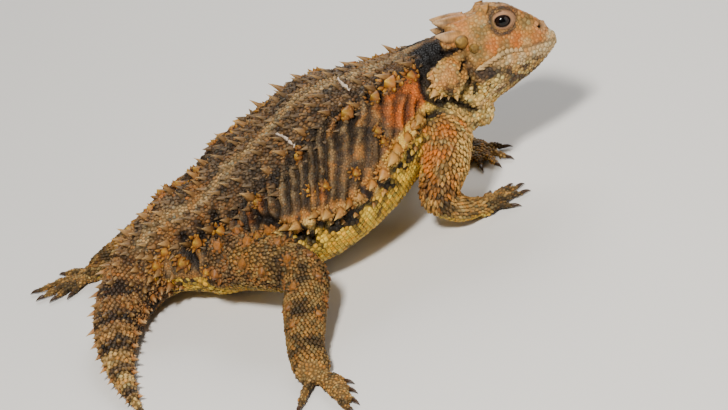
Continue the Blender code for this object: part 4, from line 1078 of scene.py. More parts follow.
for side in (-1, 1):
    for t, off_angle, radius in ROSETTES:
        stray = 0 if side == -1 else scatter.uniform(-0.2, 0.2)
        place, facing = on_trunk(t + stray, math.radians(90 + side * (off_angle + 9 * stray)))
        root = root_at(place, facing)
        if root is not None:
            lean = unit(facing - look(trunk, np.array([t + stray]))["ahead"][0] * 0.25)
            add_thorn(root, lean, 0.95 * radius, radius, "leg_orange", "yellow", 0.8)
            ringed.append(len(thorns) - 1)
SMALL_THORN_SPACING, BOSS_SPACING = 2.2, 9.0
back = is_body & (off < 42) & (stripe_reach > 1.5) & (along > VENT - 0.6) & (along < NECK)
for k in pick(back, SMALL_THORN_SPACING, [thorn[0] for thorn in thorns]):
    lean = unit(normals[k] * 0.75 + lie[k] * 0.6 + scatter.uniform(-0.15, 0.15, 3))
    size = scatter.uniform(0.6, 1.25)
    add_thorn(points[k], lean, 1.4 * size, 0.5 * size + 0.1, "grey_earth", "stripe")
flank = is_body & (off > 46) & (off < 92) & (along > PELVIS) & (along < SHOULDER)
for k in pick(flank, BOSS_SPACING, [thorn[0] for thorn in thorns]):
    size = scatter.uniform(0.7, 1.2)
    add_thorn(points[k], unit(normals[k] + lie[k] * 0.35), 0.8 * size, 0.9 * size, "orange_earth", "stripe")

# The tail's thorns are horny cones like those of the back, and stand in whorls right round it.
# The side ones are the longest, and a smaller whorl stands between each two.
for number, t in enumerate(runs(trunk, 0.5, VENT, TAIL_WHORL / 2)):
    at = look(trunk, np.array([t]))
    share = min(at["wide"][0, 0] / 8.5, 1.0)
    for off_angle, height in TAIL_THORNS:
        for side in (-1, 1):
            angle = math.radians(90 + side * (off_angle + (14 if number % 2 else 0) + scatter.uniform(-4, 4)))
            place, facing = on_trunk(t, angle)
            root = root_at(place, facing)
            if root is None or part[near_skin(root)] != BODY_PART or at["wide"][0, 0] < 0.9:
                continue
            tall = height * (0.35 + 0.65 * share) * scatter.uniform(0.85, 1.15) * (0.5 if number % 2 else 1.0)
            lean = facing - at["ahead"][0] * 0.75
            lean[2] = max(lean[2], 0.05)
            tones = ("leg_orange", "whitish", 0.9) if off_angle > 60 else ("tail_orange", "thorn_tip")
            add_thorn(root, unit(lean), tall, (0.45 + 0.5 * share) * (0.7 if number % 2 else 1), *tones)

# The thorns of the head: a row of pale points along each side of the jaw, a blunt one at the
# back of each brow, and a fan on the swelling of the neck. Small ones stand on the limbs.
JAW_THORNS, JAW_START, JAW_END, JAW_DROP = 10, 8.6, 17.6, 0.45
BROW_THORN = (14.4, 7.1, 9.6)  # behind the snout, out and up
NECK_THORNS = 7
for side in (1, -1):
    behind_eye, out, up = BROW_THORN
    lean = unit(head_top * 0.5 - head_front * 0.85 + head_left * side * 0.3)
    add_thorn(head_point(behind_eye, side * out, up), lean, 1.2, 1.1, "head_tan", "head_tan")
    for d in np.linspace(JAW_START, JAW_END, JAW_THORNS):
        f = (d - JAW_START) / 9
        lean = unit(head_left * side * 0.75 - head_top * 0.2 - head_front * 0.75)
        place = head_point(d, side * head_line("jaw_out", d), head_line("lip", d) - JAW_DROP)
        root = root_at(place, unit(head_left * side - head_top * 0.15))
        if root is not None:
            add_thorn(root, lean, 1.0 + 0.5 * f, 0.55 + 0.2 * f, "whitish", "whitish")
    centre = neck_fold(side, -0.6)
    for k in range(NECK_THORNS):
        f = math.radians(-75 + 150 * k / (NECK_THORNS - 1))
        fan = -neck_at["ahead"] * math.cos(f) + neck_at["top"] * math.sin(f)
        toward = unit(fan + neck_at["side"] * side * 0.6)
        root = root_at(centre + toward * 4, toward)
        if root is not None:
            large = 1.7 if k == NECK_THORNS // 2 else 1
            tall = 1.15 * large * scatter.uniform(0.85, 1.15)
            add_thorn(root, toward, tall, 0.6 * large, "head_tan", "whitish")
for number, leg in enumerate(legs.values()):
    here = (part == FIRST_LEG + number) & (off < 95) & (along > 1.2) & (along < 4.6)
    for k in pick(here, 3.4 if number < 2 else 4.6, []):
        size = (0.1 if number < 2 else 0.17) * look(leg, along[k : k + 1])["wide"][0, 0]
        lean = unit(normals[k] * (0.6 if number < 2 else 1.6) + lie[k])
        tall = 1.6 * size + 0.3 if number < 2 else 0.8 * size + 0.2
        tip_colour = "thorn_tip" if number < 2 else "leg_orange"
        add_thorn(points[k], lean, tall, size + 0.2, "leg_orange", tip_colour)
for number in ringed:
    place, _, _, thick = thorns[number][:4]
    for _, k, distance in skin_tree.find_range(Vector(place), thick * 2.4):
        paint[k] *= 1 - 0.65 * band(distance, thick * 1.2, thick * 1.9, thick * 0.3)


def smooth_object(name, mesh, material):
    """An object in the scene from a mesh that is in its place, smooth and in one finish."""
    mesh.polygons.foreach_set("use_smooth", [True] * len(mesh.polygons))
    mesh.materials.append(material)
    obj = bpy.data.objects.new(name, mesh)
    bpy.context.scene.collection.objects.link(obj)
    return obj


def piece_of(name, places, faces, colours, unwrap, material, slot_name):
    """A finished piece from its points and faces, with its colours and its place on the unwrap."""
    mesh = bpy.data.meshes.new(name)
    mesh.from_pydata(in_model(places).tolist(), [], faces)
    put_paint(mesh, colours)
    if unwrap is not None:
        corners = np.empty(len(mesh.loops), int)
        mesh.loops.foreach_get("vertex_index", corners)
        mesh.uv_layers.new(name="OFBake").data.foreach_set("uv", unwrap[corners].ravel())
    obj = smooth_object(name, mesh, material)
    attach(obj, "root")


def ring_faces(sides, levels, count):
    """The faces of many like shapes, each of rings of points with a floor and a point on top."""
    per = sides * levels + 1
    one = []
    for level in range(levels - 1):
        for i in range(sides):
            j = (i + 1) % sides
            low = level * sides
            one.append((low + i, low + j, low + sides + j, low + sides + i))
    top = (levels - 1) * sides
    one += [(top + i, top + (i + 1) % sides, per - 1) for i in range(sides)]
    one.append(tuple(range(sides - 1, -1, -1)))
    faces = []
    for number in range(count):
        base = number * per
        faces += [tuple(base + k for k in face) for face in one]
    return faces


PATCH = 0.003  # how wide each scale's place on the unwrap is


def patches(centres, local):
    """Each scale's own small patch of the unwrap, round its root's place there."""
    reach = np.abs(local).max(axis=(1, 2), keepdims=True)
    return (centres[:, None] + local / np.maximum(reach, 1e-6) * PATCH / 2).reshape(-1, 2)


def unwrap_at(place):
    k = near_skin(place)
    return part_unwrap(int(part[k]), np.asarray(place), float(along[k]), float(turned[k]))


# share of the height and of the radius, from under the skin to below the point
THORN_RINGS = ((-0.22, 1.15), (0.04, 1.0), (0.36, 0.66), (0.7, 0.30), (0.9, 0.10))
THORN_SIDES = 7


def thorn_shapes(items, sides, ring_shape, bend):
    """Points, faces, colours and patches of curved, ridged cones."""
    place, toward, tall, thick = (np.array([item[k] for item in items], float) for k in range(4))
    base = np.array([item[4] for item in items])
    tip = np.array([item[5] for item in items])
    across = unit(np.cross(toward, np.where(np.abs(toward[:, 2:3]) < 0.9, [[0, 0, 1.0]], [[1.0, 0, 0]])))
    over = np.cross(toward, across)
    rear = np.array([lie[near_skin(p)] for p in place])
    angles = np.arange(sides) * 2 * math.pi / sides
    ridge = 1 + 0.12 * np.where(np.arange(sides) % 2, 1, -1)[None, :, None]
    cosine, sine = np.cos(angles)[None, :, None], np.sin(angles)[None, :, None]
    levels, tints = [], []
    for share, width in ring_shape:
        centre = place + toward * (tall * share)[:, None] + rear * (tall * bend * share * abs(share))[:, None]
        round_it = across[:, None] * cosine + over[:, None] * sine
        levels.append(centre[:, None] + round_it * ridge * (thick * width)[:, None, None])
        f = min(max(share, 0), 1) ** 2
        shade = 0.55 if share < 0 else 1.0
        tints.append(np.repeat(((base * (1 - f) + tip * f) * shade)[:, None], sides, axis=1))
    point = place + toward * tall[:, None] + rear * (tall * bend)[:, None]
    shape = np.concatenate(levels + [point[:, None]], axis=1)
    colours = np.concatenate(tints + [tip[:, None]], axis=1)
    away = shape - place[:, None]
    local = np.stack((np.sum(away * across[:, None], axis=2), np.sum(away * over[:, None], axis=2)), axis=2)
    centres = np.array([unwrap_at(p) for p in place])
    faces = ring_faces(sides, len(ring_shape), len(items))
    return shape.reshape(-1, 3), faces, colours.reshape(-1, 3), patches(centres, local)


shape, faces, colours, unwrap = thorn_shapes(thorns, THORN_SIDES, THORN_RINGS, 0.16)
shape[:, 2] = np.maximum(shape[:, 2], 0)
thorn_finish = hide_material("thorn", 1500, 0.5)
piece_of("thorns", shape, faces, colours, unwrap, thorn_finish, "back_skin")

# The collars: a ring of small pointed scales of the same horn, which stands close round the foot
# of each large thorn and each boss.
PETALS, PETAL_RINGS = 8, ((-0.3, 1.1), (0.1, 1.0), (0.6, 0.5))
petals = []
for place, toward, tall, thick, base, tip in thorns:
    k = near_skin(place)
    if thick < 0.7 or is_head[k]:
        continue
    facing = normals[k]
    across = unit(np.cross(facing, lie[k]))
    over = np.cross(facing, across)
    for number in range(PETALS):
        angle = 2 * math.pi * (number + scatter.uniform(-0.2, 0.2)) / PETALS
        outward = across * math.cos(angle) + over * math.sin(angle)
        root = np.array(skin_bvh.find_nearest(Vector(place + outward * thick * 1.35))[0])
        if np.linalg.norm(root - place) > thick * 2.2:
            continue
        lean = unit(facing + outward * 0.7)
        tall = thick * scatter.uniform(0.6, 1.0)
        petals.append((root, lean, tall, thick * 0.42, base * 0.85, 0.5 * (base + tip)))
shape, faces, colours, unwrap = thorn_shapes(petals, 5, PETAL_RINGS, 0.1)
shape[:, 2] = np.maximum(shape[:, 2], 0)
piece_of("thorn_collars", shape, faces, colours, unwrap, thorn_finish, "back_skin")

# The scales proper: each is a low horny plate cut to meet its neighbours, keeled and lifted at
# the rear on back, limbs and tail, flat on the belly and head, and beady on flank and throat.
CANDIDATES = 260000  # places tried in the scatter
LIP_SPACING = 0.95
places, is_row = [], []


def add_rows(form, number, first, last, spacing, angle_from, angle_to):
    """Staggered rows across a form between two angles from its left side, in degrees."""
    for row, t in enumerate(runs(form, first, last, spacing * 0.84)):
        at = look(form, np.array([t]))
        radius = (at["wide"] + (at["up"] + at["down"]) / 2)[0, 0] / 2
        span = math.radians(angle_to - angle_from)
        count = max(int(span * radius / spacing), 4)
        angles = math.radians(angle_from) + span * (np.arange(count) + 0.5 * (row % 2)) / count
        ring, facing = surface(form, np.full(count, t), angles)
        for place, way in zip(ring, facing):
            root = root_at(place, way)
            if root is not None and part[near_skin(root)] == number:
                places.append(root)
                is_row.append(True)


add_rows(trunk, BODY_PART, VENT, NECK, 0.98, 190, 350)
add_rows(trunk, BODY_PART, 0.3, VENT, 1.0, 0, 360)
for number, leg in enumerate(legs.values()):
    add_rows(leg, FIRST_LEG + number, 3.4, 5.6, 0.86, 0, 360)
for side in (1, -1):
    for d in np.arange(0.8, 18.5, LIP_SPACING):
        for up in (head_line("lip", d) + 0.75, head_line("lip", d) - 0.75):
            root = root_at(head_point(d, side * head_line("lip_out", d), up), head_left * side)
            if root is not None:
                places.append(root)
                is_row.append(True)

skin.data.calc_loop_triangles()
triangles = np.empty(len(skin.data.loop_triangles) * 3, int)
skin.data.loop_triangles.foreach_get("vertices", triangles)
triangles = triangles.reshape(-1, 3)
corner = points[triangles]
area = np.linalg.norm(np.cross(corner[:, 1] - corner[:, 0], corner[:, 2] - corner[:, 0]), axis=1)
weight = area / kinds[triangles, 0].mean(axis=1) ** 2
picks = scatter.choice(len(triangles), size=CANDIDATES, p=weight / weight.sum())
u, v = scatter.uniform(size=CANDIDATES), scatter.uniform(size=CANDIDATES)
u, v = np.where(u + v > 1, 1 - u, u)[:, None], np.where(u + v > 1, 1 - v, v)[:, None]
loose = corner[picks, 0] * (1 - u - v) + corner[picks, 1] * u + corner[picks, 2] * v
candidates = np.concatenate((np.array(places), loose))
is_row = np.array(is_row + [False] * CANDIDATES)
at_skin = np.array([near_skin(place) for place in candidates])
in_groove = is_head[at_skin] & (np.abs(lip_gap[at_skin]) < 0.3) & (behind[at_skin] < 18)
in_eye = np.zeros(len(candidates), bool)
for side, centre in eyes.items():
    away = candidates - centre
    sideways = away @ (head_left * side)
    aside = np.linalg.norm(away - sideways[:, None] * head_left * side, axis=1)
    lengthwise, upright = away @ head_front, away @ head_top
    in_eye |= (np.hypot(lengthwise / 2.8, upright / 2.05) < 1) & (sideways > -3) & is_head[at_skin]
under_foot = (candidates[:, 2] < 0.5) & (normals[at_skin, 2] < -0.5)
in_hole = (in_ear[at_skin] > 0.4) | (nostril_away[at_skin] < 1.9) & is_head[at_skin]
alive = ~(in_groove | in_eye | under_foot | in_hole)
widths = kinds[at_skin, 0]
candidate_tree = tree_of(candidates)
for place, _, _, thick, _, _ in thorns:
    for _, k, _ in candidate_tree.find_range(Vector(place), thick * 1.1):
        alive[k] = False
chosen = []
order = np.concatenate((np.arange(len(places)), len(places) + scatter.permutation(CANDIDATES)))
for k in order:
    if not alive[k]:
        continue
    chosen.append(k)
    for _, other, distance in candidate_tree.find_range(Vector(candidates[k]), 0.9 * widths[k]):
        if not is_row[other] or distance < 0.62 * widths[k]:
            alive[other] = False

root = candidates[chosen]
at = at_skin[chosen]
facing = unit(spread(normals, pairs, 1))[at]
rear = unit(lie[at] - facing * np.sum(lie[at] * facing, axis=1)[:, None])
across = np.cross(facing, rear)
width, height, keel, rise, tip, seam_light = kinds[at].T
height = height * scatter.uniform(0.75, 1.3, len(root))
tone = np.clip(scatter.normal(0, 1, len(root)), -2.2, 1.5)
tint = np.exp(tone * np.interp(seam_light, (0.3, 0.7), (0.32, 0.17)))
warmth = np.outer(scatter.normal(0, 0.13, len(root)), (0.4, -0.4, -1.2))
colour = paint[at] * tint[:, None] * np.exp(warmth)
root_tree = tree_of(root)
near = np.array([[k for _, k, _ in root_tree.find_n(Vector(place), 10)] for place in root])
gaps = root[near] - root[:, None]
gap_x, gap_y = np.einsum("nkc,nc->nk", gaps, rear), np.einsum("nkc,nc->nk", gaps, across)
centres = np.array([unwrap_at(place) for place in root])


def plate_shapes(which, sides, levels):
    """Plates whose rims are cut halfway to each neighbour, in rising rings with a raised middle, painted
    darker at the rim as shade and lighter on the middle as a highlight.
    """
    angles = np.arange(sides) * 2 * math.pi / sides
    reach = np.full((len(which), sides), 0.0)
    share = width[which, None] / (width[which, None] + width[near[which]])
    apart = (gap_x[which] ** 2 + gap_y[which] ** 2) * share
    for k, angle in enumerate(angles):
        toward = math.cos(angle) * gap_x[which] + math.sin(angle) * gap_y[which]
        cut = np.where(toward > 0.05, apart / np.maximum(toward, 0.05), 9.0)
        reach[:, k] = np.minimum(cut.min(axis=1), width[which] * 0.68)
    cosine = np.cos(angles)[None]
    point_share = 1 + tip[which, None] * np.clip(cosine, 0, 1) ** 3
    shape, colours, local = [], [], []
    for factor, lift, light in levels:
        # painted shade: each ring darker towards the rim, by the light its level keeps
        shade = (seam_light[which] * (1 - light) + light)[:, None]
        r = reach * factor * (point_share if factor > 0.6 else 1)
        lifted = height[which, None] * lift + rise[which, None] * r * cosine * (0.75 if lift > 0 else 0.2)
        lifted = lifted + keel[which, None] * (np.abs(cosine) ** 6 * (lift > 0.7) * 0.8)
        x, y = r * cosine, r * np.sin(angles)[None]
        shape.append(
            root[which, None]
            + rear[which, None] * x[..., None]
            + across[which, None] * y[..., None]
            + facing[which, None] * lifted[..., None]
        )
        # the rear point paler, partly the keeled scales' own pale points and partly painted light; the low
        # front edge darker, painted shade
        pale_point_and_shade = 0.55 * np.clip(cosine, 0, 1) ** 2 - 0.3 * np.clip(-cosine, 0, 1)
        point_and_shade = 1 + pale_point_and_shade * np.minimum(rise[which] * 3, 1)[:, None]
        colours.append((colour[which] * shade)[:, None] * point_and_shade[..., None])
        local.append(np.stack((x, y), axis=2))
    middle = root[which] + facing[which] * (height[which] * 1.05 + keel[which])[:, None]
    shape.append(middle[:, None])
    # painted highlight: the raised middle a little lighter
    colours.append((colour[which] * 1.06)[:, None])
    local.append(np.zeros((len(which), 1, 2)))
    faces = ring_faces(sides, len(levels), len(which))
    shape = np.concatenate(shape, axis=1).reshape(-1, 3)
    shape[:, 2] = np.maximum(shape[:, 2], 0)
    colours = np.concatenate(colours, axis=1).reshape(-1, 3)
    return shape, faces, colours, patches(centres[which], np.concatenate(local, axis=1))


# reach, height, and how much of the full light
FINE_LEVELS = ((1.0, -0.5, 0.0), (0.84, 0.62, 0.9))
FULL_LEVELS = ((1.02, -0.5, 0.0), (0.9, 0.42, 0.7), (0.52, 0.92, 1.05))
scale_finish = hide_material("scale", 3400, 0.56)
regions = {
    "flank_scales": (is_body[at] & (off[at] > 44) & (off[at] < 99) & (along[at] > VENT), "back_skin"),
    "back_scales": (is_body[at] & (off[at] <= 44) & (along[at] > VENT), "back_skin"),
    "belly_scales": (is_body[at] & (off[at] >= 99) & (along[at] > VENT), "back_skin"),
    "tail_scales": (is_body[at] & (along[at] <= VENT), "tail_skin"),
    "head_scales": (is_head[at], "head_skin"),
    "leg_scales": (is_leg[at], "limb_skin"),
    "foot_scales": (is_foot[at], "limb_skin"),
}
for name, (where, slot_name) in regions.items():
    small = where & (width < 0.9)
    for suffix, which, sides, levels in (
        ("fine", np.flatnonzero(small), 6, FINE_LEVELS),
        ("full", np.flatnonzero(where & ~small), 8, FULL_LEVELS),
    ):
        if len(which):
            shape, faces, colours, unwrap = plate_shapes(which, sides, levels)
            piece_of(f"{name}_{suffix}", shape, faces, colours, unwrap, scale_finish, slot_name)

# Flakes of shed skin that still cling to the back: thin pale curls of old horn between the
# rosettes, held where one edge is still caught under a scale.
FLAKES = (
    ((14.4, -0.8, 33.9), (14.6, -3.0, 33.8), (14.6, -5.0, 33.4), (15.1, -7.0, 32.9)),
    ((-2.4, -5.3, 29.5), (-1.2, -7.9, 29.6), (-0.6, -10.2, 29.2), (-0.3, -12.1, 28.5)),
)
FLAKE_WIDTH, FLAKE_LIFT, FLAKE_COLOUR = 0.5, 0.4, (214, 196, 178)
FLAKE_STEPS = 4  # cross-sections from one point of the line to the next
strips, strip_faces, strip_places = [], [], []
for line in FLAKES:
    first = len(strips)
    steps = (len(line) - 1) * FLAKE_STEPS
    for number in range(steps + 1):
        leg_of_line = min(number // FLAKE_STEPS, len(line) - 2)
        a, b = np.array(line[leg_of_line]), np.array(line[leg_of_line + 1])
        share = (number - FLAKE_STEPS * leg_of_line) / FLAKE_STEPS
        k = near_skin(a * (1 - share) + b * share)
        middle = points[k] + normals[k] * (FLAKE_LIFT + 0.25 * math.sin(number * 1.7))
        way = unit(np.cross(normals[k], b - a))
        half = FLAKE_WIDTH * (0.55 + 0.45 * math.sin(number * 2.3 + 1)) * (0.4 if number in (0, steps) else 1)
        curled = middle + way * half + normals[k] * 0.25
        for place in (middle - way * half, curled, middle - normals[k] * 0.3):
            strips.append(place)
            strip_places.append(unwrap_at(points[k]) + np.array((place - middle)[:2]) * 0.0008)
    for row in range(steps):
        low = first + row * 3
        strip_faces += [(low + i, low + (i + 1) % 3, low + 3 + (i + 1) % 3, low + 3 + i) for i in range(3)]
    strip_faces += [(first, first + 2, first + 1), tuple(len(strips) - 3 + i for i in range(3))]
strips, strip_places = np.array(strips), np.array(strip_places)
strip_tint = np.tile(linear(FLAKE_COLOUR) / DEPTH, (len(strips), 1))
piece_of("shed_skin", strips, strip_faces, strip_tint, strip_places, scale_finish, "back_skin")

# The horns: bony spikes in horny sheaths, one pair behind the crown and three to each temple,
# tan at the root and paler to the tip, with fine growth rings.
# name, behind the snout, out, up, length, radius, then how far it points back, out and up
HORNS = (
    ("horn_occipital", 19.0, 3.4, 7.0, 7.1, 1.95, 1.0, 0.24, 0.13),
    ("horn_temporal_1", 20.2, 7.4, 4.4, 6.2, 1.75, 1.0, 0.38, 0.18),
    ("horn_temporal_2", 20.2, 8.6, 3.7, 4.2, 1.4, 0.42, 1.0, 0.08),
    ("horn_temporal_3", 18.2, 9.2, 2.0, 3.0, 1.05, 0.25, 1.0, 0.0),
)
# share of the length, share of the root's radius, lift of the tip
HORN_LINE = ((0, 1.12, 0), (0.35, 1.0, 0.01), (0.65, 0.7, 0.03), (0.88, 0.32, 0.07), (1, 0.06, 0.1))
HORN_COLOURS = {"root": (150, 104, 56), "tip": (232, 192, 146)}
BULB_COLOURS = {"root": (150, 118, 66), "tip": (176, 142, 84)}
BULBS = ("horn_temporal_2", "horn_temporal_3")  # the short blunt ones
HORN_RINGS, HORN_SIDES = 26, 20


def horn_material():
    """Smooth horn, a little glossy, with a fine grain."""
    made = hide_material("horn", 1600, 0.55)
    made.node_tree.nodes["Principled BSDF"].inputs["Coat Weight"].default_value = 0.04
    return made


horn_finish = horn_material()
for name, behind_snout, out, up, length, radius, backward, sideways, upward in HORNS:
    for side, word in ((1, "left"), (-1, "right")):
        toward = unit(-head_front * backward + head_left * side * sideways + head_top * upward)
        base = head_point(behind_snout, side * out, up)
        across_horn = unit(np.cross(toward, head_top))
        over_horn = np.cross(across_horn, toward)
        tones = BULB_COLOURS if name in BULBS else HORN_COLOURS
        rings, tints = [], []
        for number, share in enumerate(np.linspace(0, 1, HORN_RINGS)):
            thick = profile(HORN_LINE, share, 1) * (1 - 0.05 * (number % 2) * (share < 0.85))
            centre = base + (toward * share + head_top * profile(HORN_LINE, share, 2)) * length
            rings.append(round_ring(centre, across_horn, over_horn, radius * thick, HORN_SIDES))
            tone = linear(tones["root"]) * (1 - share**2.3) + linear(tones["tip"]) * share**2.3
            tone = tone * min(share * 1.7, 1) + paint[near_skin(base)] * (1 - min(share * 1.7, 1))
            tints.append(tone * (0.82 if number % 2 else 1.0))
        bm = bmesh.new()
        wrap(bm, rings)
        bmesh.ops.recalc_face_normals(bm, faces=bm.faces)
        mesh = mesh_from(bm, f"sheath_{name}_{word}")
        horn_points = mesh_points(mesh)
        top_ring = HORN_RINGS - 1
        level = np.clip(((horn_points - base) @ toward) / length * top_ring, 0, top_ring).round().astype(int)
        stain = 1 + 0.3 * mottle(horn_points, 1.3, 9.0) + 0.2 * mottle(horn_points, 0.6, 5.0)
        put_paint(mesh, np.array(tints)[level] * np.clip(stain, 0.5, 1.5)[:, None])
        mesh.vertices.foreach_set("co", in_model(horn_points).ravel())
        sheath = smooth_object(f"sheath_{name}_{word}", mesh, horn_finish)
        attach(sheath, "root")
        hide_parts(f"{name}_{word}")

# The eyes: wet dark balls with a round pupil, set deep between two lids that make a smooth
# ring of pinkish tan skin edged with a row of beads.
EYE_COLOURS = {"pupil": (4, 3, 3), "iris": (34, 20, 13), "rim": (58, 36, 22), "ball": (20, 13, 10)}
# half width and half height of the opening and of the rim, and the lid from one to the other:
# share of the way out, then how far it stands off the eyeball
LID_OPENING, LID_RIM, LID_COLOUR = (1.68, 1.16), (3.0, 2.25), (186, 142, 108)
LID_PROFILE = (
    (0.0, -0.25), (0.02, 0.02), (0.1, 0.2), (0.26, 0.26),
    (0.45, 0.16), (0.65, 0.12), (0.85, 0.02), (1.0, -0.2),
)
# distances from the middle of the opening, and how far the eyeball and cheek stand out there
LID_DOME = ((0.0, 0.9, 1.3, 1.7, 2.0, 2.3, 2.6, 3.1), (2.0, 1.84, 1.62, 1.28, 0.94, 0.55, 0.2, -0.3))
LID_SEGMENTS, LID_BEADS, LID_THICKNESS = 48, 19, 0.3
# the pupil's, its pale rim's and the iris's radius
PUPIL, RIM, IRIS = 0.8, 0.9, 1.5
eye_finish = hide_material("eye", 200, 0.2)
eye_shader = eye_finish.node_tree.nodes["Principled BSDF"]
eye_shader.inputs["Coat Weight"].default_value = 0.35
eye_shader.inputs["IOR"].default_value = 1.2
eye_shader.inputs["Coat Roughness"].default_value = 0.03
lid_finish = hide_material("eyelid", 2400, 0.6)
for side, word in ((1, "left"), (-1, "right")):
    # the left eye's x and y change places, so that its axes too are right-handed
    flat_axes = (head_front, head_top) if side == -1 else (head_top, head_front)
    ball_place = Matrix.Translation(Vector(eyes[side])) @ turn_to((*flat_axes, head_left * side))
    into_model = Matrix.Scale(UNIT, 4) @ Matrix.Translation(-Vector(SHIFT))
    bm = bmesh.new()
    bmesh.ops.create_uvsphere(bm, u_segments=40, v_segments=32, radius=EYE_RADIUS)
    mesh = mesh_from(bm, f"eyeball_{word}")
    ball = mesh_points(mesh)
    aside = np.hypot(ball[:, 0], ball[:, 1])[:, None]
    front = ball[:, 2:3] > 0
    tones = {key: linear(value) for key, value in EYE_COLOURS.items()}
    tones_at = np.where(aside < PUPIL, tones["pupil"], np.where(aside < RIM, tones["rim"], tones["iris"]))
    put_paint(mesh, np.where(front & (aside < IRIS), tones_at, tones["ball"]))
    mesh.transform(ball_place)
    mesh.transform(into_model)
    eyeball = smooth_object(f"eyeball_{word}", mesh, eye_finish)
    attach(eyeball, "root")
    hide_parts(f"eye_{word}")

    bm = bmesh.new()
    outline = [bm.verts.new((1 + number, 0, 0)) for number in range(len(LID_PROFILE))]
    edges = [bm.edges.new(pair) for pair in zip(outline, outline[1:])]
    bmesh.ops.spin(
        bm, geom=outline + edges, cent=(0, 0, 0), axis=(0, 0, 1), dvec=(0, 0, 0), angle=2 * math.pi,
        steps=LID_SEGMENTS, use_merge=True,
    )
    bmesh.ops.remove_doubles(bm, verts=bm.verts, dist=0.001)
    for vert in bm.verts:
        turn = math.atan2(vert.co.y, vert.co.x)
        share, stand = LID_PROFILE[round(math.hypot(vert.co.x, vert.co.y)) - 1]
        wide, high = (LID_OPENING[i] * (1 - share) + LID_RIM[i] * share for i in range(2))
        flat = Vector((math.cos(turn) * wide, math.sin(turn) * high))
        if side == 1:
            flat = Vector((math.cos(turn) * high, math.sin(turn) * wide))
        beads = 0.05 * math.sin(turn * LID_BEADS) * (0.3 < share < 0.9)
        vert.co = (flat.x, flat.y, np.interp(flat.length, *LID_DOME) + stand + beads)
    bmesh.ops.solidify(bm, geom=bm.faces[:], thickness=LID_THICKNESS)
    bmesh.ops.recalc_face_normals(bm, faces=bm.faces)
    mesh = mesh_from(bm, f"eyelids_{word}")
    lid = mesh_points(mesh)
    wide, high = (lid[:, 0], lid[:, 1]) if side == -1 else (lid[:, 1], lid[:, 0])
    aside = np.hypot(wide / LID_RIM[0], high / LID_RIM[1])[:, None]
    edge = step(aside, 0.66, 0.56) + 0.85 * step(aside, 0.78, 0.9) * (0.6 + 0.4 * np.sign(-wide[:, None]))
    edge = np.clip(edge, 0, 1)
    put_paint(mesh, linear(LID_COLOUR) * (1 - edge) + linear(HIDE["head_grey"]) * 0.5 * edge)
    mesh.transform(ball_place)
    mesh.transform(into_model)
    lids = smooth_object(f"eyelids_{word}", mesh, lid_finish)
    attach(lids, "root")

# The claws: one to each toe, short, curved down and dark horn to a sharp point.
CLAW_LENGTH, CLAW_COLOUR = 1.9, (70, 52, 38)
CLAW_RINGS, CLAW_SIDES = 9, 10
# share of the length, height, radius
CLAW_LINE = ((-0.1, 0.74, 0.46), (0.12, 0.75, 0.44), (0.4, 0.78, 0.36), (0.7, 0.64, 0.22), (1.0, 0.3, 0.05))
claw_finish = hide_material("claw", 900, 0.35)
for foot in TOES:
    bm = bmesh.new()
    for name, root_place, ahead, length in toe_lines():
        if name == foot:
            rings = []
            for share in np.linspace(-0.1, 1.0, CLAW_RINGS):
                centre = root_place + ahead * (length + CLAW_LENGTH * share)
                centre[2] = profile(CLAW_LINE, share, 1)
                thick = profile(CLAW_LINE, share, 2)
                rings.append(round_ring(centre, np.cross(UPWARD, ahead), UPWARD, thick, CLAW_SIDES))
            wrap(bm, rings)
    bmesh.ops.recalc_face_normals(bm, faces=bm.faces)
    mesh = mesh_from(bm, f"claws_{foot}")
    claw_points = mesh_points(mesh)
    claw_points[:, 2] = np.maximum(claw_points[:, 2], 0)
    put_paint(mesh, np.tile(linear(CLAW_COLOUR), (len(claw_points), 1)))
    mesh.vertices.foreach_set("co", in_model(claw_points).ravel())
    claws = smooth_object(f"claws_{foot}", mesh, claw_finish)
    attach(claws, "root")

# The studio: a plain pale floor under soft lights, and the camera at the photograph's angle,
# which looks at the animal's right side from a little above.
CAMERA_PLACE = Vector((-46.70, -466.25, 242.98))
CAMERA_RIGHT, CAMERA_UP = (0.9138, -0.2687, -0.3047), (0.3914, 0.3817, 0.8373)
CAMERA_BACK = (-0.1086, -0.8844, 0.454)
LENS_LENGTH, SENSOR_WIDTH = 120, 36  # millimetres
FLOOR_COLOUR, FLOOR_ROUGHNESS, FLOOR_HALF = (214, 212, 208), 0.8, 3
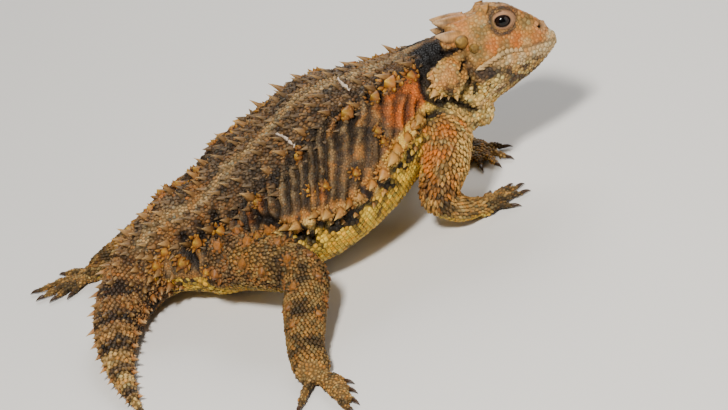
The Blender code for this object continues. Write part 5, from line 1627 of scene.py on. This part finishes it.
# name, place, what it points at, width, power, colour
LAMPS = (
    ("key", (-0.12, -0.36, 0.52), (0, 0, 0.015), 0.1, 7.0, (1.0, 0.96, 0.9)),
    ("fill", (0.45, -0.3, 0.2), (0, 0, 0.015), 0.4, 1.0, (1.0, 0.98, 0.95)),
    ("rim", (0.25, 0.5, 0.4), (0, 0, 0.02), 0.3, 3.0, (1.0, 1.0, 1.0)),
)
SKY_COLOUR, SKY_STRENGTH = (0.9, 0.92, 0.95, 1), 0.12


def plain_material(name, colour, roughness):
    made = bpy.data.materials.new(name)
    made.use_nodes = True
    shader = made.node_tree.nodes["Principled BSDF"]
    shader.inputs["Base Color"].default_value = (*linear(colour), 1)
    shader.inputs["Roughness"].default_value = roughness
    return made


bm = bmesh.new()
bmesh.ops.create_grid(bm, x_segments=1, y_segments=1, size=FLOOR_HALF)
floor_mesh = mesh_from(bm, "studio_floor")
floor_mesh.materials.append(plain_material("floor", FLOOR_COLOUR, FLOOR_ROUGHNESS))
floor = bpy.data.objects.new("studio_floor", floor_mesh)
bpy.context.scene.collection.objects.link(floor)


def area_light(name, place, target, size, power, colour):
    lamp = bpy.data.lights.new(name, "AREA")
    lamp.size = size
    lamp.energy = power
    lamp.color = colour
    obj = bpy.data.objects.new(name, lamp)
    obj.location = place
    obj.rotation_euler = (Vector(target) - Vector(place)).to_track_quat("-Z", "Y").to_euler()
    bpy.context.scene.collection.objects.link(obj)


for lamp_row in LAMPS:
    area_light(*lamp_row)
world = bpy.data.worlds.new("studio")
world.use_nodes = True
world.node_tree.nodes["Background"].inputs["Color"].default_value = SKY_COLOUR
world.node_tree.nodes["Background"].inputs["Strength"].default_value = SKY_STRENGTH
bpy.context.scene.world = world

lens = bpy.data.cameras.new("camera")
lens.lens = LENS_LENGTH
lens.sensor_width = SENSOR_WIDTH
lens.clip_start = 0.02
camera = bpy.data.objects.new("camera", lens)
turn = Matrix([CAMERA_RIGHT, CAMERA_UP, CAMERA_BACK]).transposed().to_4x4()
camera.matrix_world = Matrix.Translation((CAMERA_PLACE - Vector(SHIFT)) * UNIT) @ turn
bpy.context.scene.collection.objects.link(camera)
bpy.context.scene.camera = camera
